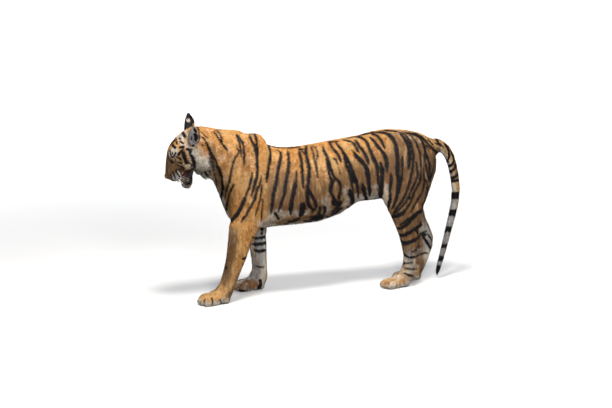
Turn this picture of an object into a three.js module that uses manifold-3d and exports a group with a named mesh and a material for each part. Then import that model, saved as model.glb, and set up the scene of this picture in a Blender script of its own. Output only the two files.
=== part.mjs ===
// A tiger at life size, standing still with its head low and its mouth a little open.
// Units are millimetres. The animal faces -X, its left side is towards -Y, and +Z is up.
import * as THREE from "three";
import { mergeVertices } from "three/addons/utils/BufferGeometryUtils.js";
import Module from "manifold-3d";

const wasm = await Module();
wasm.setup();

// Driving dimensions.
const GAP = 0.35; // clearance between neighbouring pieces
const RUMP = 857; // height of the rump
const CHEST_HALF = 168; // half width of the ribcage with its coat
const LOIN_HALF = 124; // half width in front of the thighs
const HIP_HALF = 136; // half width over the hips
const NECK_HALF = 112; // half width of the neck behind the ears
const HEAD_PITCH = 49; // degrees the palate points below level
const HEAD_YAW = 7; // degrees the face turns to the animal's right
const HEAD_ROLL = 13; // degrees the left side of the face sinks
const JAW_DROP = 15; // degrees the lower jaw hangs open
const NOSE = [-747, 14, 652]; // the tip of the nose
const EYE_RADIUS = 14.5;
const EYE_AT = [-114, 46, 53]; // from the nose tip, in the frame of the head
const EAR_HEIGHT = 102;
const TAIL_WIDTH = 62; // across the tail where its coat is fullest
const NECK_CUT = -572; // where the head is parted from the neck, at mid height

const rad = THREE.MathUtils.degToRad;

// One smooth value between the rows of a table of stations.
function between(rows, t) {
  const last = rows.length - 1;
  const i = Math.min(Math.floor(t * last), last - 1);
  const u = t * last - i;
  const p = [rows[Math.max(i - 1, 0)], rows[i], rows[i + 1], rows[Math.min(i + 2, last)]];
  return rows[0].map((_, k) => {
    const a = (p[2][k] - p[0][k]) / 2;
    const b = (p[3][k] - p[1][k]) / 2;
    const d = p[1][k] - p[2][k];
    return p[1][k] + u * (a + u * (-3 * d - 2 * a - b + u * (2 * d + a + b)));
  });
}

const middle = (ring) =>
  ring.reduce((m, p) => m.add(p), new THREE.Vector3()).divideScalar(ring.length);

// Moves both end rings outwards by the growth of a grown loft.
function stretched(rings, grow) {
  for (const [end, next] of [[rings[0], rings[1]], [rings.at(-1), rings.at(-2)]]) {
    const out = middle(end).sub(middle(next)).setLength(grow);
    end.forEach((p) => p.add(out));
  }
  return rings;
}

// A closed skin over rings of equal count, with a pole at each end.
function skin(rings) {
  const sides = rings[0].length;
  const points = [middle(rings[0]), ...rings.flat(), middle(rings.at(-1))];
  const index = [];
  for (let k = 0; k < sides; k++) {
    const n = (k + 1) % sides;
    index.push(0, 1 + n, 1 + k);
    for (let i = 0; i + 1 < rings.length; i++) {
      const a = 1 + i * sides;
      const b = a + sides;
      index.push(a + k, a + n, b + n, a + k, b + n, b + k);
    }
    const z = 1 + (rings.length - 1) * sides;
    index.push(points.length - 1, z + k, z + n);
  }
  const made = new THREE.BufferGeometry().setFromPoints(points);
  made.setIndex(index);
  return made;
}

// A solid through stations [x, z, x, z, y, half width, taper]: a point on one edge of the
// outline, the point across from it, the middle's y, and how much narrower the first edge is.
function loft(rows, rings, sides, grow = 0, square = 1) {
  const made = [];
  for (let i = 0; i < rings; i++) {
    const [ax, az, bx, bz, y, half, taper = 0] = between(rows, i / (rings - 1));
    const a = new THREE.Vector3(ax, 0, az);
    const b = new THREE.Vector3(bx, 0, bz);
    const centre = a.clone().add(b).multiplyScalar(0.5);
    const arm = a.clone().sub(b).multiplyScalar(0.5);
    arm.setLength(arm.length() + grow);
    const ring = [];
    for (let k = 0; k < sides; k++) {
      const c = Math.cos((2 * Math.PI * k) / sides);
      const s = Math.sin((2 * Math.PI * k) / sides);
      const cs = Math.sign(c) * Math.abs(c) ** square;
      const ss = Math.sign(s) * Math.abs(s) ** square;
      const p = centre.clone().addScaledVector(arm, ss);
      p.y = y + (half + grow) * cs * (1 - taper * s);
      ring.push(p);
    }
    made.push(ring);
  }
  return skin(stretched(made, grow));
}

// A round tube through rows [x, y, z, radius].
function tube(rows, rings, sides, grow = 0) {
  const at = (t) => new THREE.Vector3(...between(rows, t));
  const made = [];
  for (let i = 0; i < rings; i++) {
    const t = i / (rings - 1);
    const along = at(Math.min(t + 0.01, 1)).sub(at(Math.max(t - 0.01, 0))).normalize();
    const side = new THREE.Vector3(0, 1, 0).cross(along).normalize();
    const up = along.clone().cross(side);
    const r = between(rows, t)[3] + grow;
    const ring = [];
    for (let k = 0; k < sides; k++) {
      const a = (2 * Math.PI * k) / sides;
      ring.push(at(t).addScaledVector(side, r * Math.cos(a)).addScaledVector(up, r * Math.sin(a)));
    }
    made.push(ring);
  }
  return skin(stretched(made, grow));
}

function ball(x, y, z, rx, ry, rz, detail = 12) {
  const made = new THREE.SphereGeometry(1, detail, Math.round(detail * 0.75));
  return made.scale(rx, ry, rz).translate(x, y, z);
}

// Turns a closed three.js geometry into a solid that faces out.
function solid(geometry, matrix) {
  const g = geometry.index ? geometry.toNonIndexed() : geometry.clone();
  g.deleteAttribute("normal");
  g.deleteAttribute("uv");
  if (matrix) g.applyMatrix4(matrix);
  const m = mergeVertices(g, 1e-3);
  const tri = new Uint32Array(m.index.array);
  const make = () =>
    new wasm.Manifold(
      new wasm.Mesh({ numProp: 3, vertProperties: m.attributes.position.array, triVerts: tri }),
    );
  let made = make();
  if (made.volume() > 0) return made;
  for (let i = 0; i < tri.length; i += 3) {
    [tri[i + 1], tri[i + 2]] = [tri[i + 2], tri[i + 1]];
  }
  made = make();
  return made;
}

const join = (...parts) => parts.reduce((a, b) => a.add(b));
const cut = (part, ...tools) => tools.reduce((a, b) => a.subtract(b), part);

// The largest body of a solid, for a cut that leaves slivers.
function main(part) {
  const bodies = part.decompose();
  return bodies.sort((a, b) => b.volume() - a.volume())[0];
}

// A wide box between two x stations, leaning by tops and bottoms, used to part long pieces.
function slice(x0, lean0, x1, lean1) {
  const edge = (x, lean, z) => x + (lean * (z - 600)) / 400;
  const ring = (x, lean) => [
    [edge(x, lean, 1300), -600, 1300],
    [edge(x, lean, 1300), 600, 1300],
    [edge(x, lean, -200), 600, -200],
    [edge(x, lean, -200), -600, -200],
  ];
  const rings = [ring(x0, lean0), ring(x1, lean1)];
  return solid(skin(rings.map((r) => r.map((p) => new THREE.Vector3(...p)))));
}

// --- Trunk and neck: top x, z, bottom x, z, y, half width, taper of the top.
const TRUNK = [
  [816, 772, 800, 716, -4, 28, 0],
  [772, 794, 738, 662, -6, 66, 0.1],
  [692, 826, 690, 560, -8, 104, 0.15],
  [592, 849, 600, 496, -8, 126, 0.18],
  [490, RUMP, 505, 478, -8, HIP_HALF, 0.2],
  [385, 848, 400, 466, -5, 128, 0.18],
  [280, 831, 295, 460, 0, LOIN_HALF, 0.12],
  [175, 816, 190, 412, 0, 140, 0.1],
  [70, 800, 80, 378, 0, 157, 0.12],
  [-40, 785, -30, 372, 0, 166, 0.16],
  [-140, 785, -140, 368, 0, CHEST_HALF, 0.22],
  [-225, 806, -240, 360, 0, 162, 0.28],
  [-310, 841, -325, 360, 0, 150, 0.3],
  [-385, 873, -396, 382, 2, 138, 0.26],
  [-448, 889, -434, 446, 4, 124, 0.18],
  [-505, 901, -460, 536, 6, 115, 0.1],
  [-560, 914, -498, 618, 8, NECK_HALF, 0.05],
  [-604, 912, -546, 652, 10, 100, 0],
  [-634, 890, -592, 664, 12, 82, 0],
  [-650, 850, -620, 716, 14, 46, 0],
];
const trunk = (grow = 0) => solid(loft(TRUNK, 20, 16, grow, 0.94));

// --- Legs: front x, z, rear x, z, y, half width. The first rows lie in the shoulder or hip.
const LEFT_FORE = [
  [-330, 866, -258, 864, -60, 20],
  [-382, 838, -226, 826, -68, 36],
  [-420, 745, -205, 725, -88, 50],
  [-438, 640, -198, 620, -104, 60],
  [-446, 540, -210, 515, -113, 61],
  [-452, 455, -250, 425, -120, 56],
  [-462, 380, -296, 372, -126, 50],
  [-470, 305, -338, 300, -130, 46],
  [-481, 225, -368, 222, -132, 43],
  [-497, 160, -398, 156, -133, 41],
  [-515, 105, -424, 98, -133, 43],
  [-545, 66, -440, 52, -133, 44],
  [-540, 40, -452, 26, -133, 36],
];
const RIGHT_FORE = [
  [-330, 852, -262, 848, 60, 20],
  [-370, 822, -226, 810, 68, 36],
  [-396, 740, -190, 725, 88, 50],
  [-408, 640, -172, 620, 103, 60],
  [-396, 540, -165, 515, 104, 60],
  [-356, 460, -162, 425, 100, 55],
  [-320, 380, -172, 365, 96, 49],
  [-294, 305, -184, 300, 91, 45],
  [-284, 235, -182, 230, 88, 42],
  [-274, 170, -182, 165, 86, 40],
  [-270, 115, -180, 110, 86, 42],
  [-290, 72, -178, 66, 86, 44],
  [-282, 42, -192, 26, 86, 36],
];
const LEFT_HIND = [
  [452, 820, 600, 820, -62, 30],
  [412, 760, 705, 770, -80, 54],
  [395, 690, 750, 705, -92, 66],
  [392, 610, 744, 632, -100, 70],
  [398, 530, 712, 555, -106, 66],
  [412, 470, 684, 480, -112, 58],
  [452, 406, 652, 412, -119, 49],
  [482, 340, 632, 345, -124, 40],
  [505, 280, 622, 278, -128, 33],
  [519, 225, 616, 232, -131, 31],
  [532, 172, 609, 172, -132, 30],
  [528, 118, 608, 112, -133, 36],
  [508, 76, 600, 66, -133, 42],
  [508, 44, 582, 28, -133, 34],
];
const RIGHT_HIND = [
  [470, 815, 620, 818, 50, 30],
  [440, 755, 722, 768, 66, 54],
  [428, 690, 760, 700, 76, 66],
  [434, 610, 762, 625, 80, 70],
  [452, 530, 750, 545, 78, 66],
  [484, 470, 742, 472, 70, 57],
  [532, 405, 740, 402, 58, 47],
  [588, 345, 750, 342, 46, 38],
  [640, 290, 772, 288, 34, 32],
  [680, 232, 790, 234, 24, 30],
  [692, 176, 782, 182, 14, 29],
  [676, 120, 756, 122, 8, 34],
  [642, 78, 730, 70, 2, 40],
  [632, 44, 706, 28, 0, 33],
];
const leg = (rows, grow = 0) => solid(loft(rows, rows.length, 10, grow, 0.96));

// --- Feet, in their own frame: +x forward, origin on the floor under the ankle.
const FORE_FOOT = { length: 172, half: 57, height: 84, toe: 24 };
const HIND_FOOT = { length: 168, half: 51, height: 72, toe: 22 };
const TOE_SPREAD = [-0.78, -0.27, 0.27, 0.78]; // of the foot's half width, from right to left
const TOE_REACH = [0.86, 1, 0.98, 0.82]; // of the foot's front length

function footRows({ length, half, height }) {
  const l = length;
  const sole = -6; // below the floor, so that the pressed sole is flat
  return [
    [-0.42 * l, 0.45 * height, -0.4 * l, 0.12 * height, 0, 0.4 * half],
    [-0.36 * l, 0.75 * height, -0.34 * l, sole, 0, 0.68 * half],
    [-0.14 * l, height, -0.12 * l, sole, 0, 0.82 * half],
    [0.1 * l, 0.84 * height, 0.1 * l, sole, 0, 0.92 * half],
    [0.28 * l, 0.66 * height, 0.28 * l, sole, 0, 0.9 * half],
    [0.4 * l, 0.46 * height, 0.4 * l, 0, 0, 0.74 * half],
  ];
}

// One toe is a knuckle that rises and rounds over to the claw.
function toeRows({ length, half, height, toe }, n) {
  const tip = 0.575 * length * TOE_REACH[n];
  const y = TOE_SPREAD[n] * half;
  return [
    [tip - 72, 0.62 * height, tip - 72, -4, 0.8 * y, 0.6 * toe * 0.9],
    [tip - 50, 0.68 * height, tip - 50, -6, 0.92 * y, 0.6 * toe],
    [tip - 22, 0.62 * height, tip - 22, -6, y, 0.62 * toe],
    [tip - 5, 0.45 * height, tip - 6, 1, 1.03 * y, 0.52 * toe],
    [tip, 0.32 * height, tip - 1, 9, 1.04 * y, 0.26 * toe],
  ];
}

// Soles are flat: whatever a loft has below the floor is pressed up to it.
function pressed(geometry) {
  const p = geometry.attributes.position;
  for (let i = 0; i < p.count; i++) {
    p.setZ(i, Math.max(p.getZ(i), 0));
  }
  return geometry;
}

function foot(size, matrix, grow = 0) {
  const parts = [solid(pressed(loft(footRows(size), 6, 10, grow, 0.85)), matrix)];
  for (let n = 0; n < 4; n++) {
    parts.push(solid(pressed(loft(toeRows(size, n), 5, 6, grow, 0.9)), matrix));
  }
  return join(...parts);
}

// A claw's tip: a small hook that comes out between the hairs of its toe.
function claw(size, n) {
  const tip = 0.575 * size.length * TOE_REACH[n];
  const y = 1.04 * TOE_SPREAD[n] * size.half;
  const rows = [
    [tip - 12, y, 0.31 * size.height, 3.6],
    [tip - 2, y, 0.29 * size.height, 3.4],
    [tip + 3.5, y, 0.22 * size.height, 2.4],
    [tip + 5.5, y, 0.12 * size.height, 0.7],
  ];
  return tube(rows, 3, 4);
}

// --- The tail: x, y, z, radius.
const TAIL = [
  [756, -4, 762, 42],
  [808, -5, 750, 38],
  [850, -7, 714, 33],
  [876, -9, 655, 0.49 * TAIL_WIDTH],
  [896, -11, 575, 0.47 * TAIL_WIDTH],
  [905, -14, 485, 0.44 * TAIL_WIDTH],
  [892, -18, 395, 0.42 * TAIL_WIDTH],
  [866, -23, 305, 0.38 * TAIL_WIDTH],
  [843, -27, 220, 0.35 * TAIL_WIDTH],
  [818, -31, 135, 0.32 * TAIL_WIDTH],
  [796, -34, 62, 0.28 * TAIL_WIDTH],
  [787, -35, 30, 0.2 * TAIL_WIDTH],
  [785, -35, 17, 4],
];
const tail = (grow = 0) => solid(tube(TAIL, 16, 8, grow));

// --- The head, in its own frame: the nose tip is the origin, +x runs out of the nose along
// the palate, +y is the animal's left, +z is up.
const SKULL = [
  [-1, 12, -4, -26, 0, 13, 0],
  [-9, 21, -10, -40, 0, 34, 0.05],
  [-28, 38, -26, -49, 0, 48, 0.16],
  [-53, 58, -52, -52, 0, 54, 0.2],
  [-82, 79, -80, -50, 0, 57, 0.2],
  [-110, 97, -106, -44, 0, 66, 0.24],
  [-136, 107, -130, -46, 0, 85, 0.22],
  [-166, 110, -160, -58, 0, 97, 0.22],
  [-200, 111, -194, -76, 0, 100, 0.27],
  [-234, 106, -232, -92, 0, 101, 0.28],
  [-266, 95, -270, -90, 0, 96, 0.2],
  [-296, 77, -304, -68, 0, 82, 0.1],
  [-318, 50, -322, -30, 0, 50, 0],
];
const JAW = [
  [0, -44, -2, -68, 0, 15, 0],
  [-6, -34, -10, -82, 0, 27, 0],
  [-32, -26, -36, -85, 0, 36, 0],
  [-74, -24, -76, -68, 0, 42, 0],
  [-116, -22, -118, -58, 0, 51, 0],
  [-156, -18, -158, -51, 0, 61, 0],
  [-190, -16, -192, -48, 0, 62, 0],
];
const JAW_JOINT = [-190, -18]; // where the lower jaw turns
const MOUTH = [
  [-14, -36, -14, -50, 0, 14, 0],
  [-32, -30, -32, -58, 0, 28, 0],
  [-68, -30, -68, -54, 0, 33, 0],
  [-98, -34, -98, -47, 0, 36, 0],
  [-114, -37, -114, -43, 0, 28, 0],
];

const eye = EYE_AT;

function headMatrix() {
  const turn = new THREE.Matrix4().makeRotationZ(Math.PI - rad(HEAD_YAW));
  const nod = new THREE.Matrix4().makeRotationY(rad(HEAD_PITCH));
  const roll = new THREE.Matrix4().makeRotationX(-rad(HEAD_ROLL));
  const move = new THREE.Matrix4().makeTranslation(...NOSE);
  return move.multiply(turn).multiply(roll).multiply(nod);
}
const HEAD = headMatrix();

// The lower jaw swings about its joint.
function jawMatrix() {
  const [x, z] = JAW_JOINT;
  const back = new THREE.Matrix4().makeTranslation(-x, 0, -z);
  const drop = new THREE.Matrix4().makeRotationY(rad(JAW_DROP));
  const out = new THREE.Matrix4().makeTranslation(x, 0, z);
  return HEAD.clone().multiply(out).multiply(drop).multiply(back);
}
const JAW_AT = jawMatrix();

function skull(grow = 0) {
  const lump = (x, y, z, rx, ry, rz) =>
    solid(ball(x, y, z, rx + grow, ry + grow, rz + grow, 8), HEAD);
  const parts = [solid(loft(SKULL, 13, 14, grow, 0.86), HEAD)];
  for (const side of [-1, 1]) {
    parts.push(lump(-46, side * 27, -20, 35, 29, 30)); // whisker pad
    parts.push(lump(-124, side * 34, 76, 34, 20, 13)); // brow
    parts.push(lump(-150, side * 57, -4, 62, 36, 44)); // cheekbone
    parts.push(lump(-212, side * 66, -54, 72, 46, 72)); // ruff
  }
  return join(...parts);
}

const jaw = (grow = 0) => solid(loft(JAW, 7, 11, grow, 0.92), JAW_AT);
const eyeball = (side, grow = 0) => {
  const r = EYE_RADIUS + grow;
  return solid(ball(eye[0], side * eye[1], eye[2], r, r, r, 10), HEAD);
};

// The ear is a cup: a rounded cone hollowed from its open side.
function earMatrix(side) {
  const seat = new THREE.Matrix4().makeTranslation(-247, side * 78, 50);
  const lean = new THREE.Matrix4().makeRotationY(-rad(48));
  const splay = new THREE.Matrix4().makeRotationX(-rad(16) * side);
  const face = new THREE.Matrix4().makeRotationZ(rad(62) * side);
  return HEAD.clone().multiply(seat).multiply(lean).multiply(splay).multiply(face);
}
const EAR = [
  [22, -12, -24, -12, 0, 26],
  [24, 12, -20, 10, 0, 30],
  [17, 40, -15, 38, 0, 30],
  [9, 65, -9, 64, 0, 26],
  [4, 0.86 * EAR_HEIGHT, -4, 0.86 * EAR_HEIGHT, 0, 18],
  [1.5, EAR_HEIGHT, -1.5, EAR_HEIGHT, 0, 7],
];
function ear(side, grow = 0) {
  const cup = solid(loft(EAR, 6, 11, grow), earMatrix(side));
  if (grow) return cup;
  return cut(cup, solid(ball(29, 0, 44, 24, 24, 44, 9), earMatrix(side)));
}

const NOSE_LEATHER = [
  [4, 11, 4, 5, 0, 12, 0],
  [3, 16, 2, -4, 0, 20, -0.1],
  [-3, 20, -3, -15, 0, 23, -0.35],
  [-12, 22, -12, -18, 0, 20, -0.45],
];
const nose = (grow = 0) => solid(loft(NOSE_LEATHER, 5, 10, grow, 0.9), HEAD);

const TONGUE = [
  [-26, -26, -28, -36, 0, 10],
  [-38, -19, -42, -38, 0, 20],
  [-72, -13, -76, -34, 0, 23],
  [-98, -12, -100, -32, 0, 20],
  [-110, -14, -112, -28, 0, 14],
];
const tongue = () => solid(loft(TONGUE, 5, 8), JAW_AT);

// A canine tooth hangs from the upper jaw or stands on the lower one.
function canine(side, upper, grow = 0) {
  const s = upper ? 1 : -1;
  const x = upper ? -32 : -26;
  const y = side * (upper ? 24 : 18);
  const root = upper ? -34 : -38;
  const length = upper ? 25 : 18;
  const rows = [
    [x, y, root, 7],
    [x + 2, y, root - s * 0.4 * length, 5.8],
    [x, y, root - s * 0.8 * length, 3.8],
    [x - 3, y, root - s * length, 1],
  ];
  return solid(tube(rows, 4, 5, grow), upper ? HEAD : JAW_AT);
}

// --- Colours.
const COAT = 0xc98a4b;
const COAT_DARK = 0xa87a4a;
const PALE = 0xcfc4b4;
const BLACK = 0x1c1a1c;
const LEATHER = 0xa2705f;
const PINK = 0xb0716b;
const IVORY = 0xe6dcc0;
const HORN = 0x8d7c68;
const AMBER = 0xa9782c;

const model = new THREE.Group();

// Adds one solid as a named mesh.
function add(name, part, color, roughness = 0.9) {
  const made = main(part).getMesh();
  const geometry = new THREE.BufferGeometry();
  geometry.setAttribute("position", new THREE.BufferAttribute(made.vertProperties, 3));
  geometry.setIndex(new THREE.BufferAttribute(made.triVerts, 1));
  geometry.computeVertexNormals();
  const material = new THREE.MeshStandardMaterial({ color, roughness, metalness: 0 });
  const mesh = new THREE.Mesh(geometry, material);
  mesh.name = name;
  model.add(mesh);
}

// --- Build the head, neck and trunk as one body, then part them.
const mouth = solid(loft(MOUTH, 5, 9), HEAD);
const body = join(trunk(), skull());
const grownBody = join(trunk(GAP), skull(GAP));
const sockets = join(eyeball(1, GAP), eyeball(-1, GAP));
const front = slice(-1200, 0, NECK_CUT, -14);
add("head", cut(body.intersect(front), mouth, sockets, nose(GAP)), COAT);
add("neck", body.intersect(slice(NECK_CUT + GAP, -14, -452, -46)), COAT);
add("chest", body.intersect(slice(-452 + GAP, -46, -120, 0)), COAT);
add("belly", body.intersect(slice(-120 + GAP, 0, 300, 10)), COAT);
add("hips", body.intersect(slice(300 + GAP, 10, 1100, 10)), COAT);
add("jaw", cut(jaw(), grownBody, mouth), PALE);
add("nose", nose(), LEATHER, 0.5);
const grownHead = cut(grownBody, mouth);
const grownJaw = cut(jaw(GAP), mouth);
const teeth = [];
for (const [name, side] of [["left", 1], ["right", -1]]) {
  add("eye_" + name, eyeball(side), AMBER, 0.08);
  add("ear_" + name, cut(ear(side), grownBody), BLACK);
  const upper = canine(side, true);
  const lower = canine(side, false);
  add("canine_upper_" + name, cut(upper, grownHead, grownJaw), IVORY, 0.3);
  add("canine_lower_" + name, cut(lower, grownHead, grownJaw), IVORY, 0.3);
  teeth.push(canine(side, true, GAP), canine(side, false, GAP));
}
add("tongue", cut(tongue(), grownHead, grownJaw, ...teeth), PINK, 0.45);

// --- Build the tail.
const grownTrunk = trunk(GAP);
const wholeTail = cut(tail(), grownTrunk);
function tailLength(top, bottom) {
  const box = solid(new THREE.BoxGeometry(700, 700, top - bottom).translate(900, 0, (top + bottom) / 2));
  return wholeTail.intersect(box);
}
add("tail_1", tailLength(1000, 560), COAT);
add("tail_2", tailLength(560 - GAP, 300), COAT_DARK);
add("tail_3", tailLength(300 - GAP, -10), PALE);

// --- Build the legs and feet.
function footMatrix(x, y, yaw) {
  const turn = new THREE.Matrix4().makeRotationZ(Math.PI - rad(yaw));
  return new THREE.Matrix4().makeTranslation(x, y, 0).multiply(turn);
}

const LEGS = [
  ["fore_left", LEFT_FORE, FORE_FOOT, footMatrix(-530, -133, -4), 425, 96],
  ["fore_right", RIGHT_FORE, FORE_FOOT, footMatrix(-272, 86, 4), 425, 96],
  ["hind_left", LEFT_HIND, HIND_FOOT, footMatrix(498, -133, -4), 440, 96],
  ["hind_right", RIGHT_HIND, HIND_FOOT, footMatrix(630, 0, 2), 440, 96],
];

function band(top, bottom) {
  return solid(new THREE.BoxGeometry(3000, 1400, top - bottom).translate(0, 0, (top + bottom) / 2));
}

for (const [name, rows, size, matrix, joint, ankle] of LEGS) {
  const whole = cut(leg(rows), grownTrunk, foot(size, matrix, GAP));
  const limb = cut(leg(rows), grownTrunk);
  const lower = cut(main(whole.intersect(band(joint - GAP, 0))), band(6, -50));
  add(name + "_upper", limb.intersect(band(1000, joint)), COAT);
  add(name + "_lower", lower, COAT);
  add(name + "_foot", foot(size, matrix), COAT);
  const room = foot(size, matrix, GAP);
  for (let n = 0; n < 4; n++) {
    add(name + "_claw_" + (n + 1), cut(solid(claw(size, n), matrix), room), HORN, 0.4);
  }
}

// The origin is the middle of the floor under the model.
const box = new THREE.Box3().setFromObject(model);
const centre = box.getCenter(new THREE.Vector3());
model.position.set(-centre.x, -centre.y, -box.min.z);
model.name = "tiger";

export default model;
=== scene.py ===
# %% [markdown]
# # A standing tiger, life size
#
# The real animal is one soft body under a coat of short hair. A model of it can be sculpted by
# hand, grown from metaballs, or started from the plain solids that already hold its outline.
# The last way is used here, because the outline is then nearly right before any detail is
# added: the solids are melted into one skin, the skin is sculpted in code, and the coat is
# planted on it.

# %% The frame
import math

import bpy
import numpy as np
from mathutils import Matrix, Vector
from mathutils.bvhtree import BVHTree
from mathutils.kdtree import KDTree


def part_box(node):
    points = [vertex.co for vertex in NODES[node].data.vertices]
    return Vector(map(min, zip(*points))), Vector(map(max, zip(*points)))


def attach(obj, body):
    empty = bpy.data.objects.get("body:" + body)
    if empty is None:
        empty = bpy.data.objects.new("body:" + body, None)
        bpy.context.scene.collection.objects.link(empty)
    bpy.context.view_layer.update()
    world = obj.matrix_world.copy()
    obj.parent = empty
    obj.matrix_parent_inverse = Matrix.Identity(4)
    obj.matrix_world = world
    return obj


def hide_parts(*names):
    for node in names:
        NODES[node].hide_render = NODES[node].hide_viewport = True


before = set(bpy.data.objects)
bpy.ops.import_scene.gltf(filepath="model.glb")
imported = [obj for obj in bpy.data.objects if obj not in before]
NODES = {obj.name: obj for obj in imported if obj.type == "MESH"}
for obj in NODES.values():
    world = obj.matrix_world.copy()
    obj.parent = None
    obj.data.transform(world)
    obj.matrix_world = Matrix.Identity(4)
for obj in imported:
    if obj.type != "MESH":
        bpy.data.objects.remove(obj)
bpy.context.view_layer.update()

# %% [markdown]
# ## Helpers for whole meshes
#
# A skin has tens of thousands of points, so they are read and written as arrays, all at once.
# The mean of each point's neighbours is the one tool behind smoothing: points, lengths of hair
# and directions of hair are all evened out with it.

# %% Arrays of points
MM = 0.001


def pick(*objects):
    bpy.ops.object.select_all(action="DESELECT")
    for o in objects:
        o.select_set(True)
    bpy.context.view_layer.objects.active = objects[0]


def edit_all(o, work, **settings):
    """Run one operator in edit mode on everything in a mesh."""
    pick(o)
    bpy.ops.object.mode_set(mode="EDIT")
    bpy.ops.mesh.select_all(action="SELECT")
    work(**settings)
    bpy.ops.object.mode_set(mode="OBJECT")


def points_of(mesh):
    out = np.empty(len(mesh.vertices) * 3, np.float32)
    mesh.vertices.foreach_get("co", out)
    return out.reshape(-1, 3).astype(float)


def move_points(mesh, points):
    mesh.vertices.foreach_set("co", points.astype(np.float32).ravel())
    mesh.update()


def normals_of(mesh):
    out = np.empty(len(mesh.vertices) * 3, np.float32)
    mesh.vertex_normals.foreach_get("vector", out)
    return out.reshape(-1, 3).astype(float)


def unit(v):
    return v / np.maximum(np.linalg.norm(v, axis=-1, keepdims=True), 1e-9)


def smooth_step(low, high, v):
    t = np.clip((v - low) / (high - low), 0, 1)
    return t * t * (3 - 2 * t)


class Web:
    """The edges of a mesh, for taking the mean of each point's neighbours."""

    def __init__(self, mesh):
        ends = np.empty(len(mesh.edges) * 2, np.int32)
        mesh.edges.foreach_get("vertices", ends)
        self.a, self.b = ends.reshape(-1, 2).T
        self.count = len(mesh.vertices)
        self.degree = np.maximum(np.bincount(ends, minlength=self.count), 1)

    def mean(self, values):
        columns = values.reshape(self.count, -1).T
        total = [
            np.bincount(self.a, c[self.b], self.count) + np.bincount(self.b, c[self.a], self.count)
            for c in columns
        ]
        return (np.array(total) / self.degree).T.reshape(values.shape)

    def spread(self, values, rounds):
        for _ in range(rounds):
            values = 0.5 * values + 0.5 * self.mean(values)
        return values


def ripple(points, size, seed, waves=7):
    """A smooth value from about -1 to 1 that wanders over lengths of about size."""
    rng = np.random.default_rng(seed)
    total = np.zeros(len(points))
    for _ in range(waves):
        way = unit(rng.normal(size=3)) * rng.uniform(0.6, 1.5) * 2 * math.pi / size
        total += np.sin(points @ way + rng.uniform(0, 2 * math.pi))
    return total / (1.6 * math.sqrt(waves))


print("points of the largest solid:", max(len(o.data.vertices) for o in NODES.values()))

# %% [markdown]
# ## Helpers for materials
#
# A material is a tree of nodes. Each of these functions adds one node and links it, so that a
# material reads as a short list of steps. A value that isn't a link is set on the node's input.

# %% Nodes, one function each
def new_material(name, roughness):
    material = bpy.data.materials.new(name)
    material.use_nodes = True
    shader = material.node_tree.nodes["Principled BSDF"]
    shader.inputs["Roughness"].default_value = roughness
    return material, material.node_tree, shader


def add(tree, kind, links=(), **settings):
    """A new node; numbered or named inputs get a value or a link from another socket."""
    node = tree.nodes.new(kind)
    for key, value in settings.items():
        setattr(node, key, value)
    for name, value in links:
        if isinstance(value, bpy.types.NodeSocket):
            tree.links.new(value, node.inputs[name])
        else:
            node.inputs[name].default_value = value
    return node


def maths(tree, operation, a, b=0.0):
    return add(tree, "ShaderNodeMath", [(0, a), (1, b)], operation=operation).outputs[0]


def remap(tree, value, low, high, to_low=0.0, to_high=1.0, **settings):
    links = [("Value", value), ("From Min", low), ("From Max", high)]
    links += [("To Min", to_low), ("To Max", to_high)]
    return add(tree, "ShaderNodeMapRange", links, **settings).outputs[0]


def mix(tree, factor, a, b, blend="MIX"):
    links = [(0, factor), (6, a), (7, b)]
    return add(tree, "ShaderNodeMix", links, data_type="RGBA", blend_type=blend).outputs[2]


def noise(tree, vector, scale, detail=3.0, rough=0.55):
    links = [("Vector", vector), ("Scale", scale), ("Detail", detail), ("Roughness", rough)]
    return add(tree, "ShaderNodeTexNoise", links).outputs["Fac"]


def attribute(tree, name, output="Color"):
    return add(tree, "ShaderNodeAttribute", attribute_name=name).outputs[output]


def object_place(tree):
    return add(tree, "ShaderNodeTexCoord").outputs["Object"]


def parts_of_colour(tree, colour):
    return add(tree, "ShaderNodeSeparateColor", [("Color", colour)]).outputs


def place_group(tree, group, links):
    return add(tree, "ShaderNodeGroup", links, node_tree=group).outputs


def paint_with(tree, shader, colour):
    tree.links.new(colour, shader.inputs["Base Color"])


def raise_with(tree, shader, strength, distance, height):
    """Bump from a height, on the normal of the shader."""
    links = [("Strength", strength), ("Distance", distance), ("Height", height)]
    bumped = add(tree, "ShaderNodeBump", links).outputs[0]
    tree.links.new(bumped, shader.inputs["Normal"])


print("helpers ready, materials so far:", len(bpy.data.materials))

# %% [markdown]
# ## Camera, floor and light
#
# A still model is looked at on a pale floor under large soft lamps. Only the camera sees how
# pale the floor is, and far out it glows, so that it throws little light up at the animal's
# belly. The camera stands six metres off at the height of a person's eyes, to the animal's left
# and ahead of its nose.

# %% Camera and floor
CAMERA_AT = (-2.239, -5.972, 1.65)
CAMERA_TURN = -19.9
CAMERA_DOWN = 10.5
PICTURE = (612, 408)  # pixels
FOCAL = 1200  # pixels
SENSOR = 36  # mm
FLOOR_SIZE = 400  # metres
TO_LAMPS, TO_CAMERA = 0.22, 0.84  # how pale the floor is to the light, and to the camera
GLOW_STARTS, GLOW_FULL = 1.4, 6.5  # metres from the middle
GLOW = 0.95

bpy.ops.object.camera_add(
    location=CAMERA_AT,
    rotation=(math.radians(90 - CAMERA_DOWN), 0, math.radians(CAMERA_TURN)),
)
camera = bpy.context.object
camera.data.sensor_width = SENSOR
camera.data.lens = SENSOR * FOCAL / PICTURE[0]
camera.data.clip_end = 500
bpy.context.scene.camera = camera

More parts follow.
